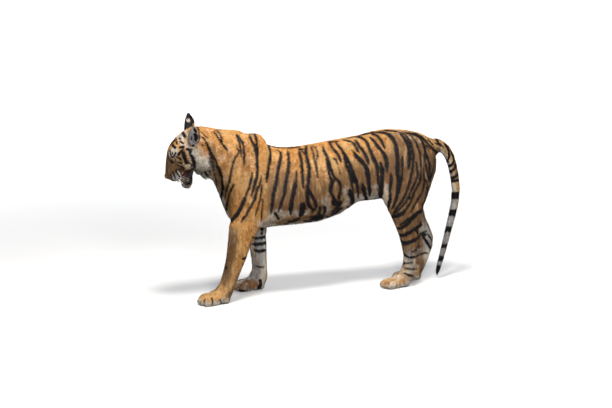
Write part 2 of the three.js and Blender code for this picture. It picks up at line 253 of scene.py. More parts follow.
bpy.ops.mesh.primitive_plane_add(size=FLOOR_SIZE, location=(0, 0, 0))
floor = bpy.context.object
floor.name = "floor"
paint, tree, shader = new_material("pale floor", 0.7)
to_camera = add(tree, "ShaderNodeLightPath").outputs["Is Camera Ray"]
paint_with(tree, shader, remap(tree, to_camera, 0, 1, TO_LAMPS, TO_CAMERA))
away = add(tree, "ShaderNodeVectorMath", [(0, object_place(tree))], operation="LENGTH")
away = away.outputs["Value"]
glow = remap(tree, away, GLOW_STARTS, GLOW_FULL, 0.0, GLOW, interpolation_type="SMOOTHSTEP")
tree.links.new(maths(tree, "MULTIPLY", glow, to_camera), shader.inputs["Emission Color"])
shader.inputs["Emission Strength"].default_value = 1.0
floor.data.materials.append(paint)
print("camera lens:", round(camera.data.lens, 2), "mm, floor:", floor.name)


# %% Lamps
LAMPS = [
    # name, place and aim in metres, size, power and tint
    ("key", (-0.5, -1.1, 4.0), (-0.1, 0, 0.6), 1.1, 165, (1, 0.97, 0.92)),
    ("side", (-0.75, -3.0, 2.1), (-0.5, 0, 0.4), 0.9, 72, (1, 0.97, 0.93)),
    ("rear", (2.6, -3.2, 1.5), (0.6, 0, 0.4), 1.4, 30, (1, 0.98, 0.95)),
    ("back", (2.6, 3.4, 3.0), (0, 0, 0.6), 2.2, 60, (0.95, 0.98, 1)),
]
SKY = (0.93, 0.95, 1, 1)
FILL, BACKDROP = 0.42, 1.05  # what lights the animal, and what the camera sees


def lamp(name, at, aim, size, power, tint):
    bpy.ops.object.light_add(type="AREA", location=at)
    made = bpy.context.object
    made.name = name
    made.data.shape = "DISK"
    made.data.size = size
    made.data.energy = power
    made.data.color = tint
    made.rotation_euler = (Vector(aim) - Vector(at)).to_track_quat("-Z", "Y").to_euler()


for row in LAMPS:
    lamp(*row)
world = bpy.data.worlds.new("studio")
world.use_nodes = True
tree = world.node_tree
sky = tree.nodes["Background"]
sky.inputs["Color"].default_value = SKY
to_camera = add(tree, "ShaderNodeLightPath").outputs["Is Camera Ray"]
tree.links.new(remap(tree, to_camera, 0, 1, FILL, BACKDROP), sky.inputs["Strength"])
bpy.context.scene.world = world
bpy.context.scene.view_settings.view_transform = "Standard"

# %% [markdown]
# ## Where things are on the animal
#
# Markings and the lie of the hair follow the body, not the room. On the trunk a place is told
# by how far back it is and by how far round it is, from 0 on the spine to 1 under the belly.
# On a leg it is told by its height and by the way it faces. The head has a frame of its own,
# in millimetres: the nose tip is the origin, x runs forward out of the nose, y to the animal's
# left and z up out of the forehead.

# %% Stations along the trunk and the legs
TRUNK_NODES = ("neck", "chest", "belly", "hips")
LEGS = ("fore_left", "fore_right", "hind_left", "hind_right")


def crossings(nodes, axis, level):
    """Where the edges of some solids cross a plane, as points."""
    found = []
    for node in nodes:
        mesh = NODES[node].data
        p = points_of(mesh)
        ends = np.array([e.vertices[:] for e in mesh.edges])
        a, b = p[ends[:, 0]], p[ends[:, 1]]
        hit = (a[:, axis] - level) * (b[:, axis] - level) < 0
        t = (level - a[hit, axis]) / (b[hit, axis] - a[hit, axis])
        found.append(a[hit] + (b[hit] - a[hit]) * t[:, None])
    return np.vstack(found)


def stations(nodes, axis, levels):
    """Rows of (level, middle of u, middle of v, half of u, half of v) along an axis."""
    rows = []
    others = [i for i in range(3) if i != axis]
    for level in levels:
        p = crossings(nodes, axis, level)[:, others]
        if len(p):
            low, high = p.min(0), p.max(0)
            rows.append([level, *((low + high) / 2), *((high - low) / 2)])
    return np.array(rows)


ALONG_TRUNK = np.arange(-0.64, 0.70, 0.04)  # metres
UP_LEG = np.arange(0.10, 0.74, 0.04)
TRUNK = stations(TRUNK_NODES, 0, ALONG_TRUNK)
SPINE_Y = float(np.median(TRUNK[:, 1]))
LEG = {leg: stations([leg + "_lower", leg + "_upper"], 2, UP_LEG) for leg in LEGS}


def at_station(rows, level):
    return [np.interp(level, rows[:, 0], rows[:, i]) for i in range(1, 5)]


def round_trunk(p):
    """0 on the spine, 1 under the belly, with the sign of the side (left is -1)."""
    cy, cz, hy, hz = at_station(TRUNK, p[:, 0])
    y = (p[:, 1] - cy) / hy
    return np.arctan2(np.abs(y), (p[:, 2] - cz) / hz) / math.pi, np.sign(y)


def round_leg(p, leg):
    """Degrees round a leg: 0 faces forward, 90 out, 180 back and -90 in."""
    cx, cy, hx, hy = at_station(LEG[leg], p[:, 2])
    outward = (p[:, 1] - cy) / hy * (-1 if leg.endswith("left") else 1)
    return np.degrees(np.arctan2(outward, -(p[:, 0] - cx) / hx))


# %% The frame of the head
NOSE_TIP = Vector((-0.8322, 0.0277, 0.652))
HEAD_PITCH, HEAD_YAW, HEAD_ROLL = 49, 7, 13
HEAD = (
    Matrix.Translation(NOSE_TIP)
    @ Matrix.Rotation(math.radians(180 - HEAD_YAW), 4, "Z")
    @ Matrix.Rotation(math.radians(-HEAD_ROLL), 4, "X")
    @ Matrix.Rotation(math.radians(HEAD_PITCH), 4, "Y")
)
HEAD_AXES = np.array(HEAD.to_3x3())


def to_head(p):
    return (p - np.array(NOSE_TIP)) @ HEAD_AXES / MM


def from_head(h):
    return np.asarray(h, float) * MM @ HEAD_AXES.T + np.array(NOSE_TIP)


def turn_from_head(v):
    return np.asarray(v, float) @ HEAD_AXES.T


print("trunk stations:", len(TRUNK), "leg stations:", {k: len(v) for k, v in LEG.items()})

# %% [markdown]
# ## One skin
#
# Copies of the solids of flesh are joined and remeshed with small voxels, which melts them
# into one closed surface. It is smoothed much on the trunk, where flesh is broad, and little
# on the face, ears and toes. Then it is drawn in by the depth of the coat, so that the tips of
# the hair end near the solids' own outline. Smoothing flattens what stood out, so the withers,
# the back, the rump, the belly and the throat are filled up again. The withers, filled the most,
# then stand up to 20 mm outside the solids, and so the skin isn't inside them everywhere.

# %% Melt the solids together
VOXEL = 4 * MM
NOT_FLESH = ("claw", "canine", "tongue")
FLESH = [n for n in sorted(NODES) if not any(word in n for word in NOT_FLESH)]
EYES = ("eye_left", "eye_right")


def joined_copy(nodes, name):
    """A copy of some solids as one object without a material."""
    copies = []
    for node in nodes:
        copy = bpy.data.objects.new(name, NODES[node].data.copy())
        bpy.context.collection.objects.link(copy)
        copies.append(copy)
    pick(*copies)
    if len(copies) > 1:
        bpy.ops.object.join()
    made = bpy.context.object
    made.name = made.data.name = name
    made.data.materials.clear()
    return made


skin = joined_copy(FLESH, "skin")
skin.data.remesh_voxel_size = VOXEL
bpy.ops.object.voxel_remesh()
print("skin after the remesh:", len(skin.data.vertices), "points")


# %% Which solid is nearest to each point
def flesh_tree():
    points, faces, owner, start = [], [], [], 0
    for i, node in enumerate(FLESH):
        mesh = NODES[node].data
        points += [v.co.copy() for v in mesh.vertices]
        faces += [[start + k for k in f.vertices] for f in mesh.polygons]
        owner += [i] * len(mesh.polygons)
        start += len(mesh.vertices)
    return BVHTree.FromPolygons(points, faces), owner


TREE, OWNER = flesh_tree()


def nearest_part(points):
    return np.array([OWNER[TREE.find_nearest(p)[2]] for p in points.tolist()])


def by_part(part, table, other):
    """One value for each point, from a table of name endings."""
    values = []
    for node in FLESH:
        match = [v for key, v in table.items() if key in node]
        values.append(match[0] if match else other)
    return np.array(values, float)[part]


def named(part, *words):
    """Which numbers of solids stand for one that has any of the words in its name."""
    return np.array([any(word in name for word in words) for name in FLESH])[part]


print("triangles of flesh to search:", len(OWNER))


# %% Smooth it and draw it in
ROUNDS = {"tail": 20, "foot": 5, "lower": 22, "upper": 70, "ear": 6, "jaw": 9, "nose": 5}
ROUNDS |= {"eye": 6, "head": 13, "neck": 70}
DEPTH = {"tail": 5.5, "foot": 2.2, "lower": 3.6, "ear": 1.6, "jaw": 2.5, "nose": 0.4}
DEPTH |= {"eye": 0.2, "head": 2.8, "neck": 6.5, "upper": 5.5}
# x in metres, then how many millimetres the smoothed skin is filled up again
TOP_FILL = [(-0.70, 4), (-0.62, 8), (-0.56, 11), (-0.52, 16), (-0.48, 24), (-0.44, 31)]
TOP_FILL += [(-0.40, 23), (-0.36, 19), (-0.32, 16), (-0.28, 10), (-0.22, 8), (-0.08, 7)]
TOP_FILL += [(0.04, 5), (0.16, 3), (0.24, 3), (0.30, 8), (0.38, 12), (0.46, 9), (0.58, 9)]
TOP_FILL += [(0.64, 0)]
BELLY_FILL = [(-0.36, 0), (-0.28, 6), (-0.13, 9), (0.0, 9), (0.10, 14), (0.15, 10), (0.22, 0)]
ACROSS = 0.09  # metres, how far to each side of the spine a fill reaches
THROAT = ((-134, 0, -118), (48, 60, 34), 15)  # centre, reach and depth, in the head's frame
EAR_OUT = 9  # mm, how much wider the right ear is made at its back edge
SHANK_OUT = {"hind_left": 6, "hind_right": -9}  # mm backwards, where the shanks nearly touch
SHANK_AT = (0.215, 0.075)  # metres, the height of that and how far it reaches
SEAM_ROUNDS = 150  # more smoothing where legs and neck join the trunk


def soften(mesh, rounds):
    web = Web(mesh)
    rounds = web.spread(rounds, 40)
    p = points_of(mesh)
    for i in range(int(rounds.max())):
        moving = rounds > i
        p[moving] = 0.5 * (p[moving] + web.mean(p)[moving])
    move_points(mesh, p)
    return web


part = nearest_part(points_of(skin.data))
web = soften(skin.data, by_part(part, ROUNDS, 80.0))
SEAMS = {"upper": 1, "neck": 2, "chest": 3, "belly": 3, "hips": 3}
kind = by_part(part, SEAMS, 0)
seam = (np.abs(web.mean(kind) - kind) > 0.01) & (kind > 0)
seam = np.clip(3 * web.spread(seam.astype(float), 16), 0, 1)[:, None]
p = points_of(skin.data)
for _ in range(SEAM_ROUNDS):
    p += 0.5 * seam * (web.mean(p) - p)
move_points(skin.data, p)
depth = web.spread(by_part(part, DEPTH, 6.0), 12) * MM
move_points(skin.data, points_of(skin.data) - normals_of(skin.data) * depth[:, None])


def fill(p, table):
    """How far the table lifts each point, less the farther it is from the spine."""
    across = (p[:, 1] - SPINE_Y) / ACROSS
    return np.interp(p[:, 0], *np.array(table).T) * MM * np.exp(-(across**2))


p = points_of(skin.data)
up = normals_of(skin.data)[:, 2]
trunk = web.spread(named(part, *TRUNK_NODES, "upper").astype(float), 6)
rise = fill(p, TOP_FILL) * smooth_step(0.0, 0.6, up) * (p[:, 2] > 0.68)
rise -= fill(p, BELLY_FILL) * smooth_step(0.0, 0.6, -up) * (p[:, 2] < 0.55)
reach = (((to_head(p) - THROAT[0]) / THROAT[1]) ** 2).sum(1)
rise -= THROAT[2] * MM * np.exp(-reach)
p[:, 2] += web.spread(rise * trunk, 10)
ear = named(part, "ear_right")
high = (p[:, 2] - p[ear, 2].min()) / np.ptp(p[ear, 2])
behind = (p[:, 0] - p[ear, 0].mean()) / np.ptp(p[ear, 0])
wider = np.exp(-(((high - 0.60) / 0.28) ** 2)) * smooth_step(-0.25, 0.5, behind) * ear
p[:, 0] += EAR_OUT * MM * web.spread(wider, 4)
along = normals_of(skin.data)[:, 0]
for leg, out in SHANK_OUT.items():
    shank = named(part, leg + "_lower")
    fuller = np.exp(-(((p[:, 2] - SHANK_AT[0]) / SHANK_AT[1]) ** 2)) * shank
    fuller *= smooth_step(0.0, 0.6, along * np.sign(out))
    p[:, 0] += out * MM * web.spread(fuller, 4)
move_points(skin.data, p)
print("skin smoothed, coat depth up to", round(depth.max() / MM, 1), "mm")

# %% [markdown]
# The trunk needs few faces, because the coat hides it, and the face and the feet need many. A
# Decimate modifier with a vertex group thins the first and leaves the others alone. Around the
# eyes and the nose the faces are subdivided instead, twice over.

# %% Few faces under the coat, many on the face
FACE_ENDS, FACE_LOWEST = -250, -160  # mm behind and under the nose tip
FEET = 0.09  # metres, the height up to which the feet are left alone
EYE = np.array([-114.0, 46.0, 53.0])
EYE_RADIUS = 14.6
LEATHER_AT = np.array([-4.0, 0.0, 0.0])
BODY_FACES = 42000  # triangles left for all that isn't protected
LONGEST_EDGES = (24, 15, 11)  # mm, halved one after the other
REFINED = ((34, 32), (26, 26))  # mm round each eye and round the nose, one row for each time


def thin_out(o, keep, wanted):
    """Collapse the faces away from some points until about as many as wanted are left."""
    mesh = o.data
    mesh.calc_loop_triangles()
    corners = np.empty(len(mesh.loop_triangles) * 3, np.int32)
    mesh.loop_triangles.foreach_get("vertices", corners)
    kept = int(keep[corners.reshape(-1, 3)].all(1).sum())
    group = o.vertex_groups.new(name="thin")
    group.add(np.flatnonzero(~keep).tolist(), 1.0, "REPLACE")
    modifier = o.modifiers.new("thin", "DECIMATE")
    modifier.ratio = (kept + wanted) / len(mesh.loop_triangles)
    modifier.vertex_group = "thin"
    pick(o)
    bpy.ops.object.modifier_apply(modifier="thin")
    o.vertex_groups.clear()


def subdivide(o, kind, chosen):
    """Halve the chosen edges, or the edges of the faces between the chosen points."""
    mesh = o.data
    pick(o)
    bpy.ops.object.mode_set(mode="EDIT")
    bpy.ops.mesh.select_mode(type=kind)
    bpy.ops.mesh.select_all(action="DESELECT")
    bpy.ops.object.mode_set(mode="OBJECT")
    (mesh.edges if kind == "EDGE" else mesh.vertices).foreach_set("select", chosen)
    bpy.ops.object.mode_set(mode="EDIT")
    bpy.ops.mesh.subdivide(number_cuts=1, smoothness=0)
    bpy.ops.object.mode_set(mode="OBJECT")


def split_long_edges(o, longest):
    """Halve every edge over a length, so that what is stored on the points is nowhere coarse."""
    p = points_of(o.data)
    ends = np.empty(len(o.data.edges) * 2, np.int32)
    o.data.edges.foreach_get("vertices", ends)
    a, b = p[ends.reshape(-1, 2).T]
    subdivide(o, "EDGE", np.linalg.norm(a - b, axis=1) > longest)


def refine(o, region):
    """Halve the edges of the faces in a region, and round what was flat."""
    subdivide(o, "VERT", region(points_of(o.data)))
    web = Web(o.data)
    p = points_of(o.data)
    soft = web.spread(region(p).astype(float), 2)
    for _ in range(3):
        p += 0.5 * soft[:, None] * (web.mean(p) - p)
    move_points(o.data, p)


def near_features(p, eye_reach, nose_reach):
    h = to_head(p)
    hit = np.linalg.norm(h - LEATHER_AT, axis=1) < nose_reach
    for side in (1, -1):
        hit |= np.linalg.norm(h - EYE * [1, side, 1], axis=1) < eye_reach
    return hit


h = to_head(points_of(skin.data))
feet = points_of(skin.data)[:, 2] < FEET
thin_out(skin, (h[:, 0] > FACE_ENDS) & (h[:, 2] > FACE_LOWEST) | feet, BODY_FACES)
for longest in LONGEST_EDGES:
    split_long_edges(skin, longest * MM)
for eye_reach, nose_reach in REFINED:
    refine(skin, lambda p: near_features(p, eye_reach, nose_reach))
print("skin:", len(skin.data.vertices), "points", len(skin.data.polygons), "faces")

# %% [markdown]
# ## The face
#
# A cat's face is made by a few forms: the lids that wrap a round eye, the brow over it, the
# long flat bridge, two whisker pads like cushions, the nose leather with its comma-shaped
# nostrils, and the lips. Each is a push of the points round it, written as a formula in the
# frame of the head, which is what a sculpting brush does by hand.

# %% Lids round the eyes
LID = 1.7  # how far a lid stands off the eyeball, mm
OPEN_HALF = 13.6  # half the length of the opening
OPEN_UP, OPEN_DOWN = 7.6, 6.4


def eye_axes(side):
    """Out of the eye, along its opening from the inner to the outer corner, and up."""
    out = unit(np.array([0.52, 0.80 * side, 0.30]))
    along = np.array([-0.80, 0.42 * side, 0.36])
    along = unit(along - out * (along @ out))
    up = unit(np.cross(along, out) * side)
    return out, along, up


def lid_gap(a, b):
    """Above 0 inside the opening between the lids, in mm, below 0 outside."""
    t = np.clip(np.abs(a) / OPEN_HALF, 0, 1)
    top = OPEN_UP * (1 - t**2.2)
    low = -OPEN_DOWN * (1 - t**1.8)
    return np.minimum(np.minimum(top - b, b - low), OPEN_HALF - np.abs(a))


def to_lid_edge(a, b):
    """Points within a millimetre of the opening's outline are moved onto it."""
    gap = lid_gap(a, b)
    step = 0.05
    slope_a = (lid_gap(a + step, b) - gap) / step
    slope_b = (lid_gap(a, b + step) - gap) / step
    steep = np.maximum(slope_a**2 + slope_b**2, 0.5)
    close = (gap > -0.9) & (gap < 0.7)
    shift = np.where(close, gap / steep, 0)
    return a - shift * slope_a, b - shift * slope_b, np.where(close, 0, gap)


def near_eye(h, side, reach, behind):
    """Points round an eye, and how far inside the opening between its lids each one is."""
    out, along, up = eye_axes(side)
    d = h - EYE * [1, side, 1]
    return (np.linalg.norm(d, axis=1) < reach) & (d @ out > behind), lid_gap(d @ along, d @ up)


def wrap_lids(h, side):
    out, along, up = eye_axes(side)
    centre = EYE * [1, side, 1]
    d = h - centre
    front = (d @ out > 0) & (np.linalg.norm(d, axis=1) < 34)
    a, b, gap = to_lid_edge(d @ along, d @ up)
    moved = (a - d @ along)[:, None] * along + (b - d @ up)[:, None] * up
    d = np.where(front[:, None], d + moved, d)
    r = np.linalg.norm(d, axis=1)
    facing = smooth_step(-6, 3, d @ out)
    reach = np.exp(-np.clip(-gap, 0, None) / 5.5) * facing * (r < 42)
    lid_height = EYE_RADIUS + LID + 0.8 * np.exp(-((gap + 1.6) ** 2) / 3)
    goal = np.where(gap > 0.01, EYE_RADIUS - 3.5, lid_height)
    weight = np.where(gap > 0.01, front, reach)
    return centre + d + d / np.maximum(r, 1)[:, None] * (weight * (goal - r))[:, None]


def bump(h, centre, size, height, way):
    """A soft push of the points near a centre, along a direction."""
    d = (h - centre) / size
    fall = np.exp(-2 * (d**2).sum(1))
    return h + unit(np.array(way, float))[None] * (fall * height)[:, None]


def nostril_depth(h, side):
    """A comma: a round hole that runs out into a slit."""
    hole = (h - [1, 11.0 * side, -1.5]) / [12, 5.6, 4.6]
    slit = (h - [-4, 19.0 * side, 3.0]) / [12, 7.5, 2.6]
    return np.maximum(np.exp(-2.2 * (hole**2).sum(1)), 0.75 * np.exp(-2.2 * (slit**2).sum(1)))


def sculpt_face(h):
    for side in (1, -1):
        mirror = np.array([1, side, 1])
        h = bump(h, [-96, 30 * side, 66], [26, 16, 18], -4.5, [0, side, 1])  # inner corner
        h = bump(h, [-128, 40 * side, 76], [26, 20, 12], 2.5, [0.2, 0.5 * side, 1])  # brow
        h = bump(h, [-92, 50 * side, 34], [34, 16, 12], -3.0, [0, side, 0.4])  # under the eye
        h = bump(h, [-40, 34 * side, -14], [34, 20, 26], 4.0, mirror * [0.3, 1, -0.3])  # pad
        h = bump(h, [-78, 46 * side, -20], [18, 14, 30], -3.0, [0, side, 0])  # behind the pad
        h = bump(h, [-34, 18 * side, 30], [40, 9, 14], -2.2, [0, side, 1])  # side of the bridge
        h = wrap_lids(h, side)
        hole = nostril_depth(h, side)
        h = h + hole[:, None] * np.array([-9.0, -1.5 * side, 1.0])
        h = bump(h, [-2, 21 * side, -6], [9, 5, 6], 2.2, [0.3, side, 0])  # wing of the nose
    groove = np.exp(-((h[:, 1] / 1.7) ** 2)) * smooth_step(-28, -8, h[:, 0])
    groove *= smooth_step(2, -12, h[:, 2]) * smooth_step(-56, -40, h[:, 2])
    return h - groove[:, None] * np.array([2.6, 0, -0.6])


p = points_of(skin.data)
h = to_head(p)
face = h[:, 0] > FACE_ENDS
p[face] = from_head(sculpt_face(h[face]))
move_points(skin.data, p)
print("face sculpted:", int(face.sum()), "points")


# %% Eyeballs
def eyeball(side):
    """A ball with a bulge in front, as the cornea stands proud of the white."""
    out, along, up = eye_axes(side)
    centre = EYE * [1, side, 1]
    bpy.ops.object.select_all(action="DESELECT")
    bpy.ops.mesh.primitive_uv_sphere_add(segments=64, ring_count=48, radius=1)
    ball = bpy.context.object
    ball.name = "eyeball_left" if side > 0 else "eyeball_right"
    p = points_of(ball.data)
    gaze = ball.data.attributes.new("gaze", "FLOAT_VECTOR", "POINT")
    gaze.data.foreach_set("vector", p.astype(np.float32).ravel())
    bulge = 1 + 0.055 * smooth_step(0.78, 1.0, p[:, 2])
    p *= bulge[:, None] * EYE_RADIUS
    h = centre + p[:, :1] * along + p[:, 1:2] * up + p[:, 2:] * out
    if np.dot(np.cross(along, up), out) < 0:
        h = centre - p[:, :1] * along + p[:, 1:2] * up + p[:, 2:] * out
    move_points(ball.data, from_head(h))
    bpy.ops.object.shade_smooth()
    return ball


eyes = [eyeball(1), eyeball(-1)]
print("eyeballs:", [eye.name for eye in eyes])

# %% [markdown]
# ## Markings
#
# A tiger's stripes are written once, as lines on the body, and laid on the skin. Each
# point of the skin then stores how far it is from the nearest stripe. The same stored number
# colours the skin and the coat, so the two can't disagree. Painting an image would do it too,
# but a distance stays sharp at any size and takes ragged edges from noise.

# %% A surface to lay lines on
def tree_of(mesh):
    return BVHTree.FromPolygons(
        points_of(mesh).tolist(), [tuple(f.vertices) for f in mesh.polygons]
    )


SURFACE = tree_of(skin.data)


def smooth_path(points, step):
    """Points every step along a curve through a few given points."""
    p = np.array(points, float)
    p = np.vstack([2 * p[0] - p[1], p, 2 * p[-1] - p[-2]])
    out = []
    for a, b, c, d in zip(p, p[1:], p[2:], p[3:]):
        count = max(2, int(np.linalg.norm(c - b) / step))
        for t in np.arange(count) / count:
            out.append(
                0.5 * (2 * b + (c - a) * t + (2 * a - 5 * b + 4 * c - d) * t**2
                       + (3 * b - a - 3 * c + d) * t**3)
            )
    return np.array(out + [p[-2]])


def outer_point(centre, way, reach):
    """Where a ray that starts outside, at a short reach, meets the skin on its way to a centre."""
    way = unit(np.array(way, float))
    hit = SURFACE.ray_cast(Vector(centre + way * reach), Vector(-way))[0]
    return None if hit is None else np.array(hit)


def on_trunk(x, turn, side):
    cy, cz, hy, hz = at_station(TRUNK, x)
    angle = turn * math.pi
    way = np.array([0, side * hy * math.sin(angle), hz * math.cos(angle)])
    return outer_point(np.array([x, cy, cz]), way, 1.5 * float(np.linalg.norm(way)))


def on_leg(leg, z, degrees):
    cx, cy, hx, hy = at_station(LEG[leg], z)
    out = -1 if leg.endswith("left") else 1
    angle = math.radians(degrees)
    way = [-math.cos(angle), out * math.sin(angle), 0]
    return outer_point(np.array([cx, cy, z]), way, 1.3 * max(hx, hy))


print("surface ready for", len(skin.data.vertices), "points")

# %% [markdown]
# The left side is what the camera sees, so its stripes are told by where they fall in the
# camera's picture of 612 by 408 pixels: a width, and a few places along the line. A ray from
# the camera through each place finds the skin. Width and line are then real sizes on the body,
# and the picture isn't needed any more.

# %% From the camera's picture to the skin
PIXEL = 5.2 * MM  # a pixel's size at the animal
VIEW = camera.rotation_euler.to_matrix()
EYE_POINT = Vector(CAMERA_AT)


def seen(px, py):
    """The point of the skin at a place in the camera's picture, or else the nearest to it."""
    way = VIEW @ Vector((px - PICTURE[0] / 2, PICTURE[1] / 2 - py, -FOCAL)).normalized()
    hit = SURFACE.ray_cast(EYE_POINT, way)[0]
    if hit is None:
        hit = EYE_POINT + way * -EYE_POINT.dot(way)
        for _ in range(4):
            hit = SURFACE.find_nearest(EYE_POINT + way * (hit - EYE_POINT).dot(way))[0]
    return np.array(hit)


print("the middle of the picture lies at", [round(float(v), 3) for v in seen(306, 204)])

# %% Stripes of the left side
NECK_STRIPES = [
    # width and places, all in pixels of the camera's picture
    (1.3, (201, 132), (204, 135), (207, 138)),
    (2.2, (202, 137), (206, 143), (209, 150), (214, 161), (220, 172), (222, 182), (222, 194)),
    (3.4, (223, 184), (222, 192), (221, 199)),
    (1.6, (208.5, 152), (210.5, 160), (212.5, 167), (214.5, 175), (216.5, 183), (216.5, 191)),
    (1.3, (206.5, 155), (207.5, 162), (209, 170), (211, 176)),
    (1.8, (213, 131), (216, 135), (219, 140), (222, 144), (228, 151)),
    (1.5, (215, 130), (219, 133), (221, 138), (222, 143)),
    (1.4, (236, 134), (238, 140), (240, 146), (241, 157)),
    (1.9, (236, 134), (240, 139), (243, 144), (244, 152), (244, 165)),
    (1.7, (237, 148), (238, 153), (233, 163), (230, 177), (226, 192), (225, 198)),
    (2.2, (234, 184), (230, 192), (228, 200), (226, 207), (225, 214)),
]
SHOULDER_STRIPES = [
    (1.7, (247, 134), (252, 134), (257, 134)),
    (2.6, (249, 134), (251, 140), (254, 146), (256, 153), (257, 163), (257, 175), (253, 190),
     (251, 197)),
    (2.6, (254, 133), (256, 140), (257, 150), (257, 160)),
    (1.8, (252, 172), (251, 180), (248, 190), (245, 198)),
    (3.2, (247, 193), (242, 205), (238, 213), (232, 220), (227, 225)),
    (2.1, (261, 176), (260, 183), (257, 190), (255, 198), (251, 206), (247, 213), (241, 222)),
    (1.4, (262, 184), (261, 192), (260, 200), (258, 207), (255, 216)),
    (1.3, (263, 198), (262, 210), (261, 222)),
]
FLANK_STRIPES = [
    (3.3, (264, 140), (267, 144), (269.5, 149), (270, 156), (269, 163), (267.5, 173), (266, 182)),
    (2.8, (271, 146.3), (278, 147.8), (287, 148.1), (294, 147.8), (299, 146.8)),
    (3.0, (277, 150), (280.5, 153), (280, 160), (278, 170), (275.5, 183), (273, 197), (271, 214)),
    (1.7, (278, 176), (276, 187), (273, 197), (271, 206)),
    (2.9, (287, 152), (288.5, 160), (288, 169), (285.7, 182), (284.5, 192), (281, 204), (278, 212)),
    (1.5, (287, 150), (289, 155), (288, 162)),
    (1.8, (296.5, 170), (296, 177), (295, 185)),
    (4.4, (295.5, 181), (294, 190), (292, 198), (291, 206), (290.5, 215)),
    (2.9, (298.5, 149), (300, 156), (301.5, 165), (302, 174), (303, 188)),
    (1.5, (299, 147), (302, 151), (305, 156)),
    (2.0, (298, 149.5), (303, 149), (307, 149)),
    (3.5, (306, 146), (306, 154), (308, 163), (309, 172), (308, 182), (307, 193), (308, 203),
     (313, 211)),
    (3.1, (308, 189), (312, 196), (315, 202), (315.7, 207), (312, 212)),
    (1.7, (310.5, 145), (312.3, 151), (313.6, 157), (315.4, 164), (316.6, 170), (317.6, 178)),
    (1.4, (312, 145), (316, 149), (317.4, 155), (316.4, 162)),
    (3.0, (322, 146), (325, 153), (328, 161), (330.5, 169), (333, 174), (335, 180)),
    (2.1, (325, 153), (326.5, 161), (327.5, 168), (329.5, 175), (331.5, 182)),
    (3.0, (335, 178), (339.5, 183), (340.3, 189), (339, 196), (338, 201)),
    (3.7, (335, 178), (331.5, 183.5), (330.3, 190), (332, 196), (336, 201)),
    (7.0, (333, 200), (337, 203), (341, 203)),
    (7.5, (332, 215), (336, 212), (341, 208)),
    (5.0, (332.5, 211.5), (335.5, 208.5), (339, 205)),
    (2.8, (329, 140), (331, 146), (335, 151), (338, 155), (341, 162)),
    (2.4, (327, 142.5), (333, 142), (339, 141)),
    (2.9, (335, 141), (338, 146), (342, 151), (344, 157), (347, 168), (350, 175), (353, 192)),
    (3.1, (343, 151), (346, 157), (349, 163), (352, 171), (355, 178), (357, 185), (358, 198)),
    (2.2, (350, 172), (353, 178), (354, 183)),
    (2.6, (342, 140), (348, 141), (353, 143.5), (356, 148), (359, 153)),
    (2.9, (355, 140), (359, 146), (363, 151), (366, 157), (369, 164)),
    (4.2, (352, 150), (357, 157), (362, 162), (366, 168), (368, 176), (369, 187), (370, 196)),
    (3.2, (347, 138.5), (355, 137), (361, 138), (366, 141.5), (369, 148), (374, 160), (377, 167),
     (378, 184)),
    (3.6, (370, 137), (375, 143), (379, 148), (383, 153), (386, 160), (387, 172)),
    (3.0, (358, 136), (369, 133.5), (376, 135.5), (380, 139), (385, 149)),
    (3.8, (380, 162), (382, 170), (382, 178), (381, 187), (380, 202)),
    (4.0, (362, 184), (364, 191), (367, 202)),
    (5.2, (348.5, 190), (352, 197), (351.5, 206)),
    (6.0, (302.5, 203), (302.3, 210), (300.5, 216)),
    (3.2, (320, 206), (319, 212), (317, 219)),
    (3.6, (324, 206), (325, 211), (323, 214)),
    (2.6, (274, 212), (277, 216), (279, 220)),
    # the last four lie on the lower edge of the belly: black blotches, and with them painted shade
    # where the belly turns under
    (5.6, (288, 222), (293.5, 220.5), (299, 218)),
    (9.0, (310, 220), (316, 219), (322, 217)),
    (6.0, (310.5, 216.8), (316, 216.2), (321, 215)),
    (2.6, (322, 221), (330, 218), (338, 214)),
    (1.2, (333, 158), (336, 161), (338, 165)),
    (1.1, (338, 167), (339, 170), (340, 174)),
]
RUMP_STRIPES = [
    (4.3, (371, 132.5), (381, 132.5), (388, 134.5), (392, 138.5), (395, 144), (397, 154),
     (397.5, 170), (398.5, 185), (396.5, 198), (392, 209)),
    (2.6, (383, 130.5), (390, 131), (398, 131.5)),
    (3.0, (391, 173), (391, 182), (390, 190), (390, 199), (388, 208)),
    (2.2, (402, 156), (402, 165), (402, 173), (401, 181), (399, 191)),
    (3.7, (399, 132), (403, 137), (407, 143), (409, 150), (409.5, 159), (408, 170)),
    (2.4, (401, 132), (407, 137), (411, 145), (413, 153), (413, 162), (410, 180), (404, 197),
     (393, 213)),
    (2.0, (409, 134), (415, 141), (418, 148), (420, 155), (421, 173)),
    (3.0, (410, 134), (417, 136), (421, 140), (424, 147), (426, 155), (429, 163), (430, 182)),
    (2.0, (424, 152), (425, 162), (427, 172), (429, 182)),
    (4.3, (405, 133), (412, 133.7), (418, 135), (424, 139.5), (429, 145.5), (434, 150.5),
     (439, 155)),
    (2.6, (431, 135), (436, 139), (439, 145)),
    (1.9, (434, 157), (434, 165), (432, 173), (430, 183)),
    (1.9, (416, 162), (417, 170), (417, 177), (411, 191), (404, 204), (393, 215)),
    (2.3, (421, 171), (420, 180), (417, 187), (413, 194), (411, 201), (404, 211), (392, 217)),
    (3.0, (391, 217), (398, 216), (405, 212)),
    (1.9, (423, 167), (424, 177), (424, 184), (422, 192), (418, 199), (410, 213)),
    (2.1, (426, 179), (427, 186), (426, 194), (423, 207), (417, 212), (411, 217), (400, 225)),
    (1.7, (430, 183), (427, 192), (425, 203)),
]
